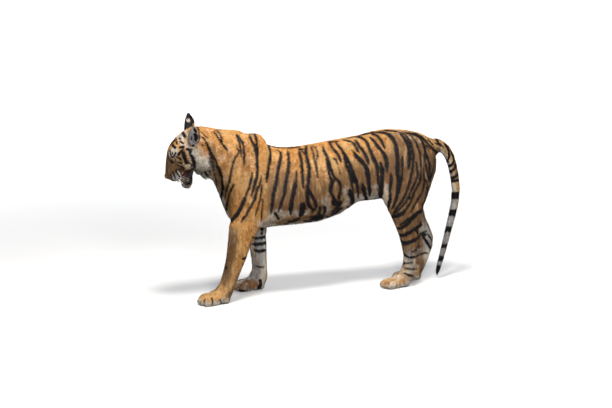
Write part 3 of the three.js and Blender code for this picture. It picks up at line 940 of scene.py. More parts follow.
LEG_STRIPES = [
    (3.3, (396, 228), (401, 228), (407, 224), (412, 219), (417, 214), (423, 211)),
    (3.2, (398, 235), (404, 235), (410, 232), (416, 228), (422, 224)),
    (3.7, (399, 239), (404, 243), (410, 242), (416, 239), (420, 235)),
    (1.3, (411, 252), (415, 250), (419, 246)),
    (1.9, (403, 253), (408, 257), (414, 257), (419, 255)),
    (1.2, (403, 263), (409, 263), (413, 262)),
    (1.4, (405, 268), (411, 269), (417, 269)),
    (1.8, (404, 273), (409, 275), (414, 276)),
    (2.6, (252, 237), (259, 238), (268, 236)),
    (2.8, (252, 244), (259, 244), (268, 242)),
    (2.4, (254, 250), (260, 251), (268, 249)),
    (1.4, (256, 266), (260, 267), (264, 267)),
    (2.0, (242, 259), (245, 258), (248, 255)),
    (1.9, (421.5, 233), (424, 238), (428, 244), (431, 249)),
    (1.0, (427, 233), (430, 237.5), (433, 243)),
    (1.6, (420, 234), (424, 232), (427, 230.5)),
    (1.6, (419, 255), (424, 253), (428, 253)),
    (3.6, (260, 279), (260.5, 284), (258.5, 289)),
    (2.6, (238, 290.5), (248, 291.5), (258, 291)),
    # the last five are the dark gaps between the toes, painted shade
    (0.6, (211.5, 298), (212.5, 301), (212.5, 305)),
    (0.5, (205, 299), (204, 303)),
    (0.5, (220, 299), (221.5, 303)),
    (0.6, (389, 283), (388, 287)),
    (0.5, (397, 284), (396, 288)),
]
TAIL_STRIPES = [
    (1.6, (440, 138.5), (445, 141), (449, 147)),
    (2.2, (442, 141), (447, 147), (449, 154), (448, 160), (446, 163)),
    (2.2, (450, 150), (453, 157), (453, 163), (447, 167)),
    (2.6, (456, 163), (454, 169), (448, 172)),
    (2.6, (458, 171), (456, 176), (450, 178)),
]
STEP = 0.8  # pixels between the places where rays are sent
BOLD = 2.4 * MM  # added to each half width, as hair from both sides lies over a stripe
FINE = 1.2 * MM  # the same for the short hair of the face
lines = []  # arrays of x, y, z and the half width there


def as_line(points, half, seed, ends=(0.16, 0.16), bold=BOLD):
    """A stripe is widest in its middle, runs out at its ends and is never quite even."""
    points = np.array([p for p in points if p is not None]).reshape(-1, 3)
    t = np.linspace(0, 1, len(points))
    taper = np.minimum(np.clip(t / ends[0], 0, 1), np.clip((1 - t) / ends[1], 0, 1)) ** 0.7
    wander = 1 + 0.2 * ripple(points, 0.05, seed)
    return np.column_stack([points, half * (0.25 + 0.75 * taper) * wander + bold])


def seen_path(places):
    return [seen(x, y) for x, y in smooth_path(places, STEP)]


def near_part(p):
    return FLESH[OWNER[TREE.find_nearest(Vector(p))[2]]]


def on_head(h):
    return np.array(SURFACE.find_nearest(Vector(from_head(h)))[0])


def other_side(points, seed):
    """The same line on the right side, bent and shifted a little, as no tiger is symmetric."""
    out = []
    for i, p in enumerate(points):
        name = near_part(p)
        bend = math.sin(i / 9 + seed)
        if any(word in name for word in ("head", "jaw", "nose", "eye", "ear")):
            h = to_head(p)
            out.append(on_head(h * [1, -1, 1] + [1.2 * bend, 0, 0]))
        elif "tail" in name:
            out.append(np.array(SURFACE.find_nearest(Vector([p[0], 2 * TAIL_Y - p[1], p[2]]))[0]))
        elif "lower" in name or "foot" in name or ("upper" in name and p[2] < 0.50):
            leg = name.rsplit("_", 1)[0]
            twin = leg.replace("left", "RIGHT").replace("right", "left").replace("RIGHT", "right")
            turn = float(round_leg(p[None], leg)[0])
            out.append(on_leg(twin, p[2] + 0.004 * bend, turn))
        else:
            turn, _ = round_trunk(p[None])
            x = p[0] + 0.012 * math.sin(seed * 2.4) + 0.005 * bend
            out.append(on_trunk(x, float(turn[0]), 1))
    return out


TAIL_Y = float(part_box("tail_2")[0][1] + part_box("tail_2")[1][1]) / 2
SEEN = NECK_STRIPES + SHOULDER_STRIPES + FLANK_STRIPES + RUMP_STRIPES + LEG_STRIPES + TAIL_STRIPES
for seed, (wide, *places) in enumerate(SEEN):
    points = seen_path(places)
    lines.append(as_line(points, wide * PIXEL / 2, seed))
    lines.append(as_line(other_side(points, seed), wide * PIXEL / 2, seed + 500))
print("stripes seen and their twins:", len(lines))

# %% [markdown]
# What the camera can't see is told by the body instead: blotches under the belly by how far
# back and how far round they are, and bars on the inside and the back of the legs by height
# and by the way they face, where 0 is forward, 90 out, 180 back and -90 in.

# %% Stripes out of sight
HALF_ROUND = 0.52  # metres, about half way round the trunk, so that both numbers are lengths
UNDER_STRIPES = [
    # half width in mm, then places: cm back and hundredths round, on both sides
    (9, (-12, 82), (-6, 92)),
    (9, (2, 84), (5, 94)),
    (8, (14, 82), (16, 92)),
    (8, (-22, 84), (-20, 93)),
    (7, (-30, 86), (-31, 94)),
    (6, (24, 84), (26, 92)),
    (6, (-46, 88), (-45, 96)),
    (6, (-52, 90), (-52, 98)),
]
BARS = [
    # legs, height in cm, from and to in degrees, half width in mm, rise in cm from start to end
    ("hind_left hind_right", 33, 120, 190, 6, -5),
    ("hind_left hind_right", 38, -130, -40, 7, 2),
    ("hind_left hind_right", 32, -120, -50, 6, 1),
    ("hind_left hind_right", 25, -110, -60, 5, 0),
    ("hind_left hind_right", 48, -120, -60, 7, 3),
    ("hind_right", 29, 20, 160, 7, -3),
    ("hind_right", 24, 10, 120, 6, -1),
    ("fore_left fore_right", 34, -140, -50, 7, 2),
    ("fore_left fore_right", 21, 140, 190, 4, -2),
    ("fore_left fore_right", 31, 150, 195, 4, -2),
    ("fore_right", 38, 60, 130, 5, 3),
]
for seed, (half, *places) in enumerate(UNDER_STRIPES):
    path = smooth_path([(x / 100, turn / 100 * HALF_ROUND) for x, turn in places], 4 * MM)
    for side in (-1, 1):
        points = [on_trunk(x, y / HALF_ROUND, side) for x, y in path]
        lines.append(as_line(points, half * MM, seed + 700 + 100 * side))
for seed, (legs, height, start, end, half, rise) in enumerate(BARS):
    for leg in legs.split():
        turns = np.linspace(start, end, max(4, int(abs(end - start) / 5)))
        climb = np.linspace(0, rise / 100, len(turns))
        points = [on_leg(leg, height / 100 + up, turn) for up, turn in zip(climb, turns)]
        lines.append(as_line(points, half * MM, seed + 50))
print("stripes with those out of sight:", len(lines))

# %% [markdown]
# The face has the finest pattern: contour bars over the forehead, dark strokes in the white
# over the eyes, a black streak behind each eye, the black edge of the cheek and rows of dark
# roots on the whisker pads. Each is told as the stripes are and mirrored in the head's frame.

# %% Dark lines of the face
FACE_LINES = [
    (2.2, (181.5, 130.5), (182.5, 133), (184.5, 136), (185.5, 137.5)),
    (2.2, (177, 135), (175.5, 138), (173, 142), (170.5, 146)),
    (1.6, (184, 128), (181, 131), (178, 134)),
    (2.9, (172, 144.5), (174, 146.5), (175.5, 148.5)),
    (2.2, (176, 141.5), (177.5, 144.5)),
    (1.5, (178.5, 137.5), (181, 139.5)),
    (1.6, (179.5, 141), (182, 143), (183.5, 144)),
    (2.3, (179.5, 147.5), (184.5, 147)),
    (2.6, (182, 150), (180, 152.5), (177.5, 155)),
    (1.5, (170, 150.5), (170.8, 154), (172.3, 158)),
    (1.3, (172.3, 152), (172.6, 155)),
    (1.7, (176, 152), (174.5, 155), (172.8, 158)),
    (3.0, (170.5, 161.5), (173, 161.5), (175.5, 159.5)),
    (2.0, (175.5, 156.5), (178.5, 157.5), (181, 159.5)),
    (1.6, (177, 162), (180, 163), (182, 163)),
    (1.4, (177, 165), (180, 166)),
    (3.6, (182.8, 152), (183.8, 156), (185.3, 160), (186.8, 164)),
    (2.5, (186, 149), (189, 150), (191, 152.5)),
    (3.0, (189, 153), (191.5, 157), (193.5, 161), (194, 166), (194.5, 171), (194.5, 178)),
    (2.2, (187.5, 162.5), (189.5, 163)),
    (1.4, (189.7, 162.5), (191.3, 165), (190.5, 168)),
    (2.6, (181, 165.5), (182, 167), (184, 168.5)),
    (1.8, (179, 168.5), (182, 170), (185, 170.5)),
    (1.5, (175.5, 169), (177, 173), (180, 177.5)),
    (1.4, (177.5, 169.5), (181, 173), (183.5, 177), (185, 181)),
    (1.4, (172.5, 171), (174, 175), (176, 179)),
    (1.3, (170.5, 174), (171.5, 178)),
    (3.8, (184.5, 182.5), (188, 183.5), (190.5, 181), (191.3, 175), (190, 171)),
    (3.2, (204.5, 171), (207.5, 175)),
    # the last four are in the near ear: its dark rim, and painted shade under its top and deep in
    # its hollow
    (1.5, (192, 126), (195, 125.5), (198, 128.5), (199, 132), (199, 140), (197.5, 144)),
    (2.0, (194, 128.5), (196.5, 132)),
    (3.4, (195, 134), (196.3, 137.5), (195.5, 140.5)),
    (0.8, (191.5, 136), (191.2, 140)),
]
PALE_LINES = [
    # strength, then width and places as before
    (1.0, 5.5, (173.5, 149), (172, 152), (171.5, 157)),
    (1.0, 2.8, (176, 150), (176, 156)),
    (0.9, 1.8, (169, 152), (169.5, 157)),
    (0.80, 5.5, (178, 137), (181, 141), (183, 144)),
    (0.75, 3.6, (180, 133), (183, 138)),
    (0.60, 3.0, (185, 129), (186, 136), (184.5, 141), (184, 145)),
    (0.7, 3.0, (180, 145), (184, 146), (189, 148)),
    (0.55, 2.5, (185.5, 151), (188, 157), (190.5, 163)),
    (0.8, 2.4, (189.5, 156), (191, 161), (192, 168), (192, 175)),
    (0.6, 4.0, (186, 166), (189, 168), (191.5, 172)),
    (1.0, 6.0, (191, 150), (194, 154), (198, 160), (203, 163)),
    (0.9, 8.0, (199, 165), (197, 171), (197, 175)),
    (0.75, 5.0, (204, 166), (208, 170)),
    (0.4, 4.5, (197, 148), (203, 155), (207, 160)),
    (1.0, 2.2, (177.5, 171), (181, 173.5), (184, 178), (185.5, 182)),
    (0.75, 6.5, (173, 176), (177, 178), (179, 174)),
    (0.6, 3.6, (183, 186), (187, 188), (190, 187)),
    (0.75, 1.6, (179, 165), (182, 164.5), (184, 163)),
    (0.5, 2.0, (176.5, 160), (180, 161)),
    (0.55, 2.6, (181, 156), (184, 162)),
]
GOLD_LINES = [
    (1.0, 3.0, (168.5, 147.5), (170.5, 148.5)),
    (1.0, 3.5, (183, 127), (184, 131)),
    (0.9, 2.4, (176, 134), (174, 142)),
    (1.0, 6.0, (201, 131), (208, 133)),
    (1.0, 4.5, (202, 140), (201, 149), (204, 156)),
    (0.9, 2.0, (180, 153), (183, 159), (184, 163)),
    (0.8, 3.5, (195, 148), (200, 153), (206, 158)),
]
PALE_BODY = [
    (0.40, 5, (200, 136), (205, 144), (210, 155)),
    (0.38, 5, (204, 130), (213, 133), (222, 136)),
    (0.38, 5, (208, 140), (215, 150), (222, 160)),
    (0.35, 5, (224, 144), (229, 154), (230, 164)),
    (0.30, 5, (244, 140), (249, 150), (251, 165)),
    (0.45, 4, (255, 190), (252, 198), (246, 210)),
    (1.0, 7, (212, 172), (217, 184), (222, 197), (226, 212), (227, 220)),
    (1.0, 3.5, (440, 146), (443, 154)),
    (0.9, 4, (443, 150), (447, 160), (450, 170), (452, 178)),
    (0.40, 9, (392, 131), (405, 135), (418, 141)),
    (0.55, 4, (226, 176), (223, 188), (222, 198)),
    (0.80, 7, (258, 224), (267, 221), (280, 219)),
    (0.65, 7, (268, 216), (276, 211), (284, 213), (296, 212), (308, 213)),
    (0.60, 8, (320, 198), (326, 205), (326, 212)),
    (0.22, 14, (312, 165), (325, 172), (330, 186)),
    (0.80, 7, (345, 188), (346, 200), (344, 208)),
    (0.60, 6, (355, 193), (356, 202)),
    (0.90, 7, (358, 201), (362, 203), (375, 200), (388, 203)),
    (0.80, 6, (374, 184), (374, 194), (385, 196), (385, 184)),
    (0.50, 6, (405, 262), (408, 250), (412, 262), (408, 276)),
    (0.85, 5, (424, 236), (426, 245), (424, 256), (421, 268)),
    (0.75, 6, (402, 281), (410, 279), (419, 275)),
]
# strength, then width and places: strokes that dull the ground, most of them painted shade, as on
# the front of the near fore leg, behind the shoulder, on the thighs and on the rump
DULL_AND_SHADED_BODY = [
    (1.0, 9, (234, 230), (233, 240), (231, 255), (227, 272), (226, 284)),
    (1.0, 6, (240, 270), (235, 284)),
    (1.0, 5, (229, 232), (227, 255), (221, 280)),
    (0.9, 7, (406, 246), (408, 256), (412, 266)),
    (1.0, 7, (420, 258), (422, 264), (418, 274)),
    (0.8, 5, (401, 128), (412, 131), (424, 135), (434, 142)),
    (0.6, 9, (388, 134), (400, 138), (414, 142)),
    (0.35, 14, (272, 165), (280, 185)),
    (0.5, 9, (403, 150), (406, 170), (406, 190)),
    (0.5, 9, (420, 160), (423, 176), (421, 192)),
    (0.8, 5, (430, 238), (431, 247), (430, 256)),
    # and where pale hair is painted grey, mostly as shade: in the near ear, on the whisker pad,
    # under the ruff and the chin, inside the far fore leg, at the hock and down the tail
    (1.0, 9, (193, 127), (192, 136), (193, 145)),
    (0.9, 9, (196, 174), (204, 174)),
    (0.9, 7, (172, 177), (178, 178)),
    (1.0, 9, (183, 187), (190, 187)),
    (1.0, 20, (260, 232), (259, 250), (256, 270), (250, 288)),
    (0.8, 8, (407, 258), (410, 274)),
    (1.0, 12, (454, 190), (450, 215), (444, 245), (438, 268)),
]
GOLD_BODY = [
    (0.9, 5, (384, 284), (388, 280), (394, 280)),
    (0.8, 4, (398, 283), (404, 280)),
    (0.9, 6, (240, 226), (246, 232), (247, 245), (243, 262), (240, 274)),
    (0.9, 2.5, (430, 235), (433, 241)),
    (0.7, 7, (204, 297), (214, 294), (222, 291)),
    (0.9, 4, (261.5, 165), (263.5, 185), (263, 205), (262, 218)),
]
# brown strokes, partly the coat's own colour and partly painted shade, as on the front of the near
# fore leg, on the far paw and at the hock
BROWN_AND_SHADED_BODY = [
    (1.0, 7, (241, 285), (246, 282), (253, 281)),
    (0.8, 8, (238, 288), (247, 287), (257, 284)),
    (1.0, 9, (418, 257), (423, 263), (420, 273)),
    (0.6, 6, (430, 240), (431, 250)),
    (0.9, 9, (208, 154), (213, 168), (218, 186)),
    (0.5, 8, (231, 246), (228, 262), (224, 278)),
    (0.35, 8, (390, 133), (405, 136), (418, 141)),
]


def mirrored(points):
    return [on_head(to_head(p) * [1, -1, 1]) for p in points]


for seed, (wide, *places) in enumerate(FACE_LINES):
    points = seen_path(places)
    for first, side in ((200, points), (250, mirrored(points))):
        lines.append(as_line(side, wide * PIXEL / 2, seed + first, (0.1, 0.1), FINE))


def stroke_mask(p, strokes, on_body=False):
    """A soft mask along some lines on both sides, each with its own strength."""
    rows = []
    for seed, (strength, wide, *places) in enumerate(strokes):
        points = seen_path(places)
        twin = other_side(points, seed) if on_body else mirrored(points)
        for side in (points, twin):
            line = as_line(side, wide * PIXEL / 2, seed, (0.05, 0.05), FINE)
            rows.append(np.column_stack([line, np.full(len(line), strength)]))
    rows = np.vstack(rows)
    tree = tree_of_points(rows[:, :3])
    edge = (1.7, 0.3) if on_body else (1.25, 0.75)
    out = np.zeros(len(p))
    for i, q in enumerate(p):
        for _, k, d in tree.find_n(q, 4):
            if d < 2 * rows[k, 3]:
                out[i] = max(out[i], rows[k, 4] * float(smooth_step(*edge, d / rows[k, 3])))
    return out


def tree_of_points(points):
    tree = KDTree(len(points))
    for i, p in enumerate(points):
        tree.insert(p, i)
    tree.balance()
    return tree


LINES = np.vstack(lines)
LINE_TREE = tree_of_points(LINES[:, :3])
print("lines in all:", len(lines), "points on them:", len(LINES))

# %% [markdown]
# For each point of the skin the nearest places on the stripes give a signed distance: below
# zero inside a stripe. The rings of the tail are simpler, being just heights. The points are
# shaken a little first, which makes the edges of the stripes wander.

# %% How far each point is from a stripe
TAIL_RINGS = [(454, 181, 9), (454, 196, 20), (450, 213, 17), (447, 230, 17), (444, 247, 15)]
TAIL_RINGS += [(440, 259.5, 14)]  # places in the camera's picture, and a half width in mm
TAIL_TIP = (438, 266)
FAR = 0.02  # distances are kept up to 20 mm
SHAKE, SHAKE_SIZE = 1.6, 0.03  # mm that the points are shaken, and metres from shake to shake
NEAREST = 4  # places on the stripes that are asked


def stripe_distance(p, on_tail):
    shaken = p + MM * np.column_stack([SHAKE * ripple(p, SHAKE_SIZE, k) for k in range(3)])
    out = np.full(len(p), FAR)
    for i, q in enumerate(shaken):
        out[i] = min(d - LINES[k, 3] for _, k, d in LINE_TREE.find_n(q, NEAREST))
    z = p[:, 2] + 0.004 * ripple(p, 0.05, 8) + 0.2 * (p[:, 1] - TAIL_Y)
    rings = [np.abs(z - seen(x, y)[2]) - half * MM for x, y, half in TAIL_RINGS]
    rings = np.minimum(np.min(rings, axis=0), z - seen(*TAIL_TIP)[2])
    return np.clip(np.where(on_tail, np.minimum(rings, out), out), -FAR, FAR)


place = points_of(skin.data)
part = nearest_part(place)
web = Web(skin.data)


def is_on(*words):
    return named(part, *words)


facing = normals_of(skin.data)
distance = stripe_distance(place, is_on("tail"))
print("points inside a stripe:", int((distance < 0).sum()))

# %% [markdown]
# Under the stripes the coat has three grounds. It is golden along the back, a duller tan on
# the flanks and thighs, a fade that is partly the coat's own tone and partly painted shade,
# and pale on the belly, the throat, the inside of the legs, the cheeks and over the eyes. Each
# ground is a soft mask on the points of the skin.

# %% Pale and golden grounds
PALE_FACE = [
    # strength, centre and half size in the frame of the head, left half
    (1.0, (-214, 104, -50), (30, 26, 36)),
    (1.0, (-180, 70, -92), (34, 40, 34)),
    (0.6, (-150, 30, -132), (60, 60, 30)),
    (0.5, (-34, 20, -100), (34, 34, 18)),
    (0.6, (-30, 24, -34), (26, 26, 18)),
]


def body_mask(strokes, rounds):
    return web.spread(stroke_mask(place, strokes, True), rounds)


def blobs(h, table):
    """The strongest of some soft lumps at each point, on both halves of the head."""
    out = np.zeros(len(h))
    half = np.column_stack([h[:, 0], np.abs(h[:, 1]), h[:, 2]])
    for strength, centre, size in table:
        reach = (((half - centre) / size) ** 2).sum(1)
        out = np.maximum(out, strength * smooth_step(1.5, 0.35, reach))
    return out


h = to_head(place)
turn, _ = round_trunk(place)
wander = 0.03 * ripple(place, 0.11, 3)  # moves every border on the trunk a little
on_face = is_on("head", "jaw", "nose", "eye")
on_trunk_part = is_on("neck", "chest", "belly", "hips", "upper")
# the part of the way round where pale starts: lower on the chest, and lower amidships too
pale_from = 0.64 + 0.20 * smooth_step(-0.30, -0.42, place[:, 0])
pale_from += 0.12 * smooth_step(-0.36, -0.24, place[:, 0]) * smooth_step(0.2, 0.1, place[:, 0])
pale = np.where(on_trunk_part, smooth_step(0, 0.18, turn + wander - pale_from), 0)
# golden fades from the spine to the flank, partly the coat's own tone and partly painted
# shade, but stays on the neck and the shoulders
golden = np.where(on_trunk_part, 1 - 0.9 * smooth_step(0.16, 0.54, turn + 2 * wander), 0.5)
golden = np.where(place[:, 0] < -0.36, np.maximum(golden, 0.62), golden)
# legs are pale inside and behind, the right fore leg in front too, and the toes are pale
for leg in LEGS:
    here = is_on(leg)
    degrees = round_leg(place, leg)
    inner = smooth_step(40, 85, -degrees - 20 * wander) * smooth_step(165, 130, -degrees)
    backward = smooth_step(150, 175, np.abs(degrees)) * 0.5
    low = smooth_step(0.60, 0.42, place[:, 2])
    leg_pale = np.maximum(inner, backward) * low
    if leg == "fore_right":
        leg_pale = np.maximum(leg_pale, 0.8 * low * smooth_step(75, 35, np.abs(degrees)))
    if leg == "hind_right":
        leg_pale *= 1 - 0.6 * smooth_step(0.24, 0.34, place[:, 2])
    if "hind" in leg:
        leg_pale = np.maximum(leg_pale, 0.55 * smooth_step(0.26, 0.14, place[:, 2]))
        golden = np.where(here, 0.35 + 0.5 * smooth_step(0.12, 0.06, place[:, 2]), golden)
    else:
        golden = np.where(here & (place[:, 2] < 0.55), 0.80, golden)
    toes = smooth_step(0.048, 0.014, place[:, 2] + 0.010 * ripple(place, 0.03, 51))
    pale = np.where(here, np.maximum(leg_pale, 0.95 * toes), pale)
# the tail is pale in its lower half and along its front
on_tail = is_on("tail")
tail_pale = smooth_step(0.62, 0.40, place[:, 2]) * 0.6
tail_pale = np.maximum(tail_pale, smooth_step(0.1, -0.6, facing[:, 0]) * 0.8)
pale = np.where(on_tail, tail_pale, pale)
golden = np.where(on_tail, 0.5, golden)
# the face takes its ground from blobs and strokes of its own
pale = np.where(on_face, blobs(h, PALE_FACE), pale)
pale = np.maximum(pale, stroke_mask(place, PALE_LINES))
pale = np.maximum(pale, 0.85 * body_mask(PALE_BODY, 8))
RUFF = PALE_FACE[:2]  # reaches onto the neck
pale = np.where(is_on("neck"), np.maximum(pale, blobs(h, RUFF)), pale)
golden = np.where(on_face, 0.38 + 0.40 * smooth_step(-110, -150, h[:, 0]), golden)
# the muzzle before the eyes is dull brown, partly its own colour and partly painted shade
golden = np.where(on_face & (h[:, 0] > -110), 0.12, golden)
golden_patch = np.exp(-(((h - [-138, 0, 104]) / [16, 22, 14]) ** 2).sum(1))
golden = np.maximum(golden, golden_patch)
golden = np.maximum(golden, stroke_mask(place, GOLD_LINES))
gold_body = body_mask(GOLD_BODY, 5)
golden = np.maximum(golden, gold_body)
pale = pale * (1 - 0.85 * gold_body)
# the hindquarters are darkened, painted shade for the shadow on the thighs, and strokes make
# some places golden and others grey or brown, partly the coat's own tone and partly painted shade
behind = smooth_step(0.22, 0.50, place[:, 0]) * (is_on("hips", "hind") | on_trunk_part)
golden = golden - 0.30 * behind * (place[:, 2] > 0.15)
golden = golden * (1 - 0.99 * body_mask(DULL_AND_SHADED_BODY, 8))
brown_and_shade = body_mask(BROWN_AND_SHADED_BODY, 6)
pale = pale * (1 - 0.85 * brown_and_shade)
golden = golden * (1 - 0.8 * brown_and_shade)
print("pale:", round(float(pale.mean()), 3), "golden:", round(float(golden.mean()), 3))

# %% [markdown]
# The ears are black behind with a white spot, which other tigers see, and pale in front. Lips,
# the rims of the lids and the nose are bare skin.

# %% Ears, lips and nose
black = np.zeros(len(place))
EAR_SPOT = 13.0  # mm


def ear_masks(side):
    """A whole ear, the black of its back, the white spot there and its front."""
    ear = is_on("ear_left" if side > 0 else "ear_right")
    around = web.spread(ear.astype(float), 3) > 0.3
    opening = unit(np.array([0.42, 0.88 * side, 0.10]))
    behind = facing @ turn_from_head(opening) < 0.05
    root = h[ear, 2].min()
    above = h[:, 2] > root + 0.22 * np.ptp(h[ear, 2])
    middle = h[ear & behind].mean(0) + [0, 0, 6]
    spot = smooth_step(EAR_SPOT, EAR_SPOT - 4, np.linalg.norm(h - middle, axis=1))
    return ear, around & behind & above, spot * (around & behind), ear & ~behind


for side in (1, -1):
    ear, back, spot, front = ear_masks(side)
    pale = np.where(ear, 0.0, pale)
    pale = np.where(front, 0.85, pale)
    golden = np.where(front, 0.0, golden)
    pale = np.maximum(pale, spot)
    black = np.maximum(black, back * (1 - spot))

leather = smooth_step(27, 22, np.linalg.norm((h - LEATHER_AT) / [1, 1.0, 0.72], axis=1))
lid_edge = np.zeros(len(place))
for side in (1, -1):
    near, gap = near_eye(h, side, 34, -4)
    lid_edge = np.maximum(lid_edge, near * smooth_step(-3.6, -2.0, gap))
    tear = np.exp(-2 * (((h - [-92, 38 * side, 44]) / [14, 5, 7]) ** 2).sum(1))
    lid_edge = np.maximum(lid_edge, smooth_step(0.25, 0.6, tear))
    streak = np.exp(-2 * (((h - [-136, 62 * side, 52]) / [16, 14, 5]) ** 2).sum(1))
    lid_edge = np.maximum(lid_edge, smooth_step(0.2, 0.6, streak))
# the lower lip's black is carried down the side of the jaw: the lip's own black, and below it
# painted shade
LIPS_AND_JAW_SHADE = [
    # strength, centre and half size, as for the pale blobs
    (1.0, (-62, 38, -66), (30, 22, 13)),
    (1.0, (-96, 42, -62), (34, 22, 17)),
    (1.0, (-118, 44, -54), (22, 22, 12)),
    (0.9, (-24, 16, -74), (20, 18, 6)),
]
lips_and_jaw_shade = blobs(h, LIPS_AND_JAW_SHADE) * on_face
lip_line = np.exp(-(((h[:, 2] + 50) / 2.4) ** 2)) * smooth_step(-96, -80, h[:, 0]) * on_face
lips_and_jaw_shade = np.maximum(lips_and_jaw_shade, lip_line * (facing @ turn_from_head([0, 0, 1]) < -0.1))
groove = np.exp(-((h[:, 1] / 1.8) ** 2)) * smooth_step(-28, -16, h[:, 0])
lips_and_jaw_shade = np.maximum(lips_and_jaw_shade, groove * smooth_step(-10, -14, h[:, 2]) * smooth_step(-56, -46, h[:, 2]))
inside = on_face & (h[:, 0] < -12) & (h[:, 2] < -28) & (h[:, 2] > -96) & (np.abs(h[:, 1]) < 31)
inside &= np.abs(facing @ turn_from_head([0, 0, 1])) > 0.3
bare = np.column_stack([leather, np.maximum(lid_edge, lips_and_jaw_shade), np.zeros(len(place))])
print("leather points:", int((leather > 0.5).sum()), "lid points:", int((lid_edge > 0.5).sum()))


# %% Store them on the skin
def store(mesh, name, kind, values):
    layer = mesh.attributes.new(name, kind, "POINT")
    field = {"FLOAT_COLOR": "color", "FLOAT_VECTOR": "vector"}[kind]
    layer.data.foreach_set(field, np.ascontiguousarray(values, np.float32).ravel())


def colour_rows(*columns):
    """Up to three masks as the red, green and blue of a colour."""
    return np.column_stack([*columns, np.ones(len(columns[0]))])


distance = np.clip(np.where(black > 0.5, -FAR, distance), -FAR, FAR)
golden = np.where(on_face, web.spread(golden, 2), web.spread(golden, 12))
MARKS = colour_rows(0.5 + distance / (2 * FAR), pale, golden)
store(skin.data, "marks", "FLOAT_COLOR", MARKS)
store(skin.data, "bare", "FLOAT_COLOR", colour_rows(*bare.T))
grain = place * [0.22, 1, 1]
grain = np.where(is_on("lower", "foot", "upper", "tail")[:, None], place * [1, 1, 0.22], grain)
grain = np.where((is_on("ear") | on_face)[:, None], h * MM * [0.25, 1, 1], grain)
store(skin.data, "grain", "FLOAT_VECTOR", grain)
edit_all(skin, bpy.ops.uv.smart_project, angle_limit=math.radians(66), island_margin=0.002)
skin.data.uv_layers[0].name = "OFBake"
bpy.ops.object.shade_smooth()
print("markings stored, unwrap:", skin.data.uv_layers[0].name)

# %% [markdown]
# ## Shared shader groups
#
# A node group is a shader function: built once, placed in every material that needs it. One
# turns the stored masks into the colours of the coat, with noise at the edge of each stripe so
# that it looks like hair and not like paint. The others make the fine grain of short hair and
# the pebbles of a nose.

# %% The colours of the coat
GOLD = (0.640, 0.270, 0.052, 1)
TAN = (0.420, 0.232, 0.096, 1)
UMBER_AND_SHADE = (0.150, 0.088, 0.045, 1)
SAND = (0.740, 0.480, 0.210, 1)
RUST = (0.215, 0.090, 0.026, 1)
PALE_IN_SHADE = (0.335, 0.350, 0.375, 1)
CREAM = (0.780, 0.720, 0.610, 1)
OLD_CREAM = (0.62, 0.53, 0.42, 1)
CHALK = (0.86, 0.84, 0.80, 1)
SHADE = (0.26, 0.21, 0.17, 1)
DUST = (0.30, 0.24, 0.19, 1)
INK = (0.0045, 0.004, 0.006, 1)
SOOT = (0.018, 0.014, 0.015, 1)


def new_group(name, inputs, outputs):
    group = bpy.data.node_groups.new(name, "ShaderNodeTree")
    for kind, label, value in inputs:
        socket = group.interface.new_socket(label, in_out="INPUT", socket_type="NodeSocket" + kind)
        if value is not None:
            socket.default_value = value
    for kind, label in outputs:
        group.interface.new_socket(label, in_out="OUTPUT", socket_type="NodeSocket" + kind)
    return group, group.nodes.new("NodeGroupInput"), group.nodes.new("NodeGroupOutput")


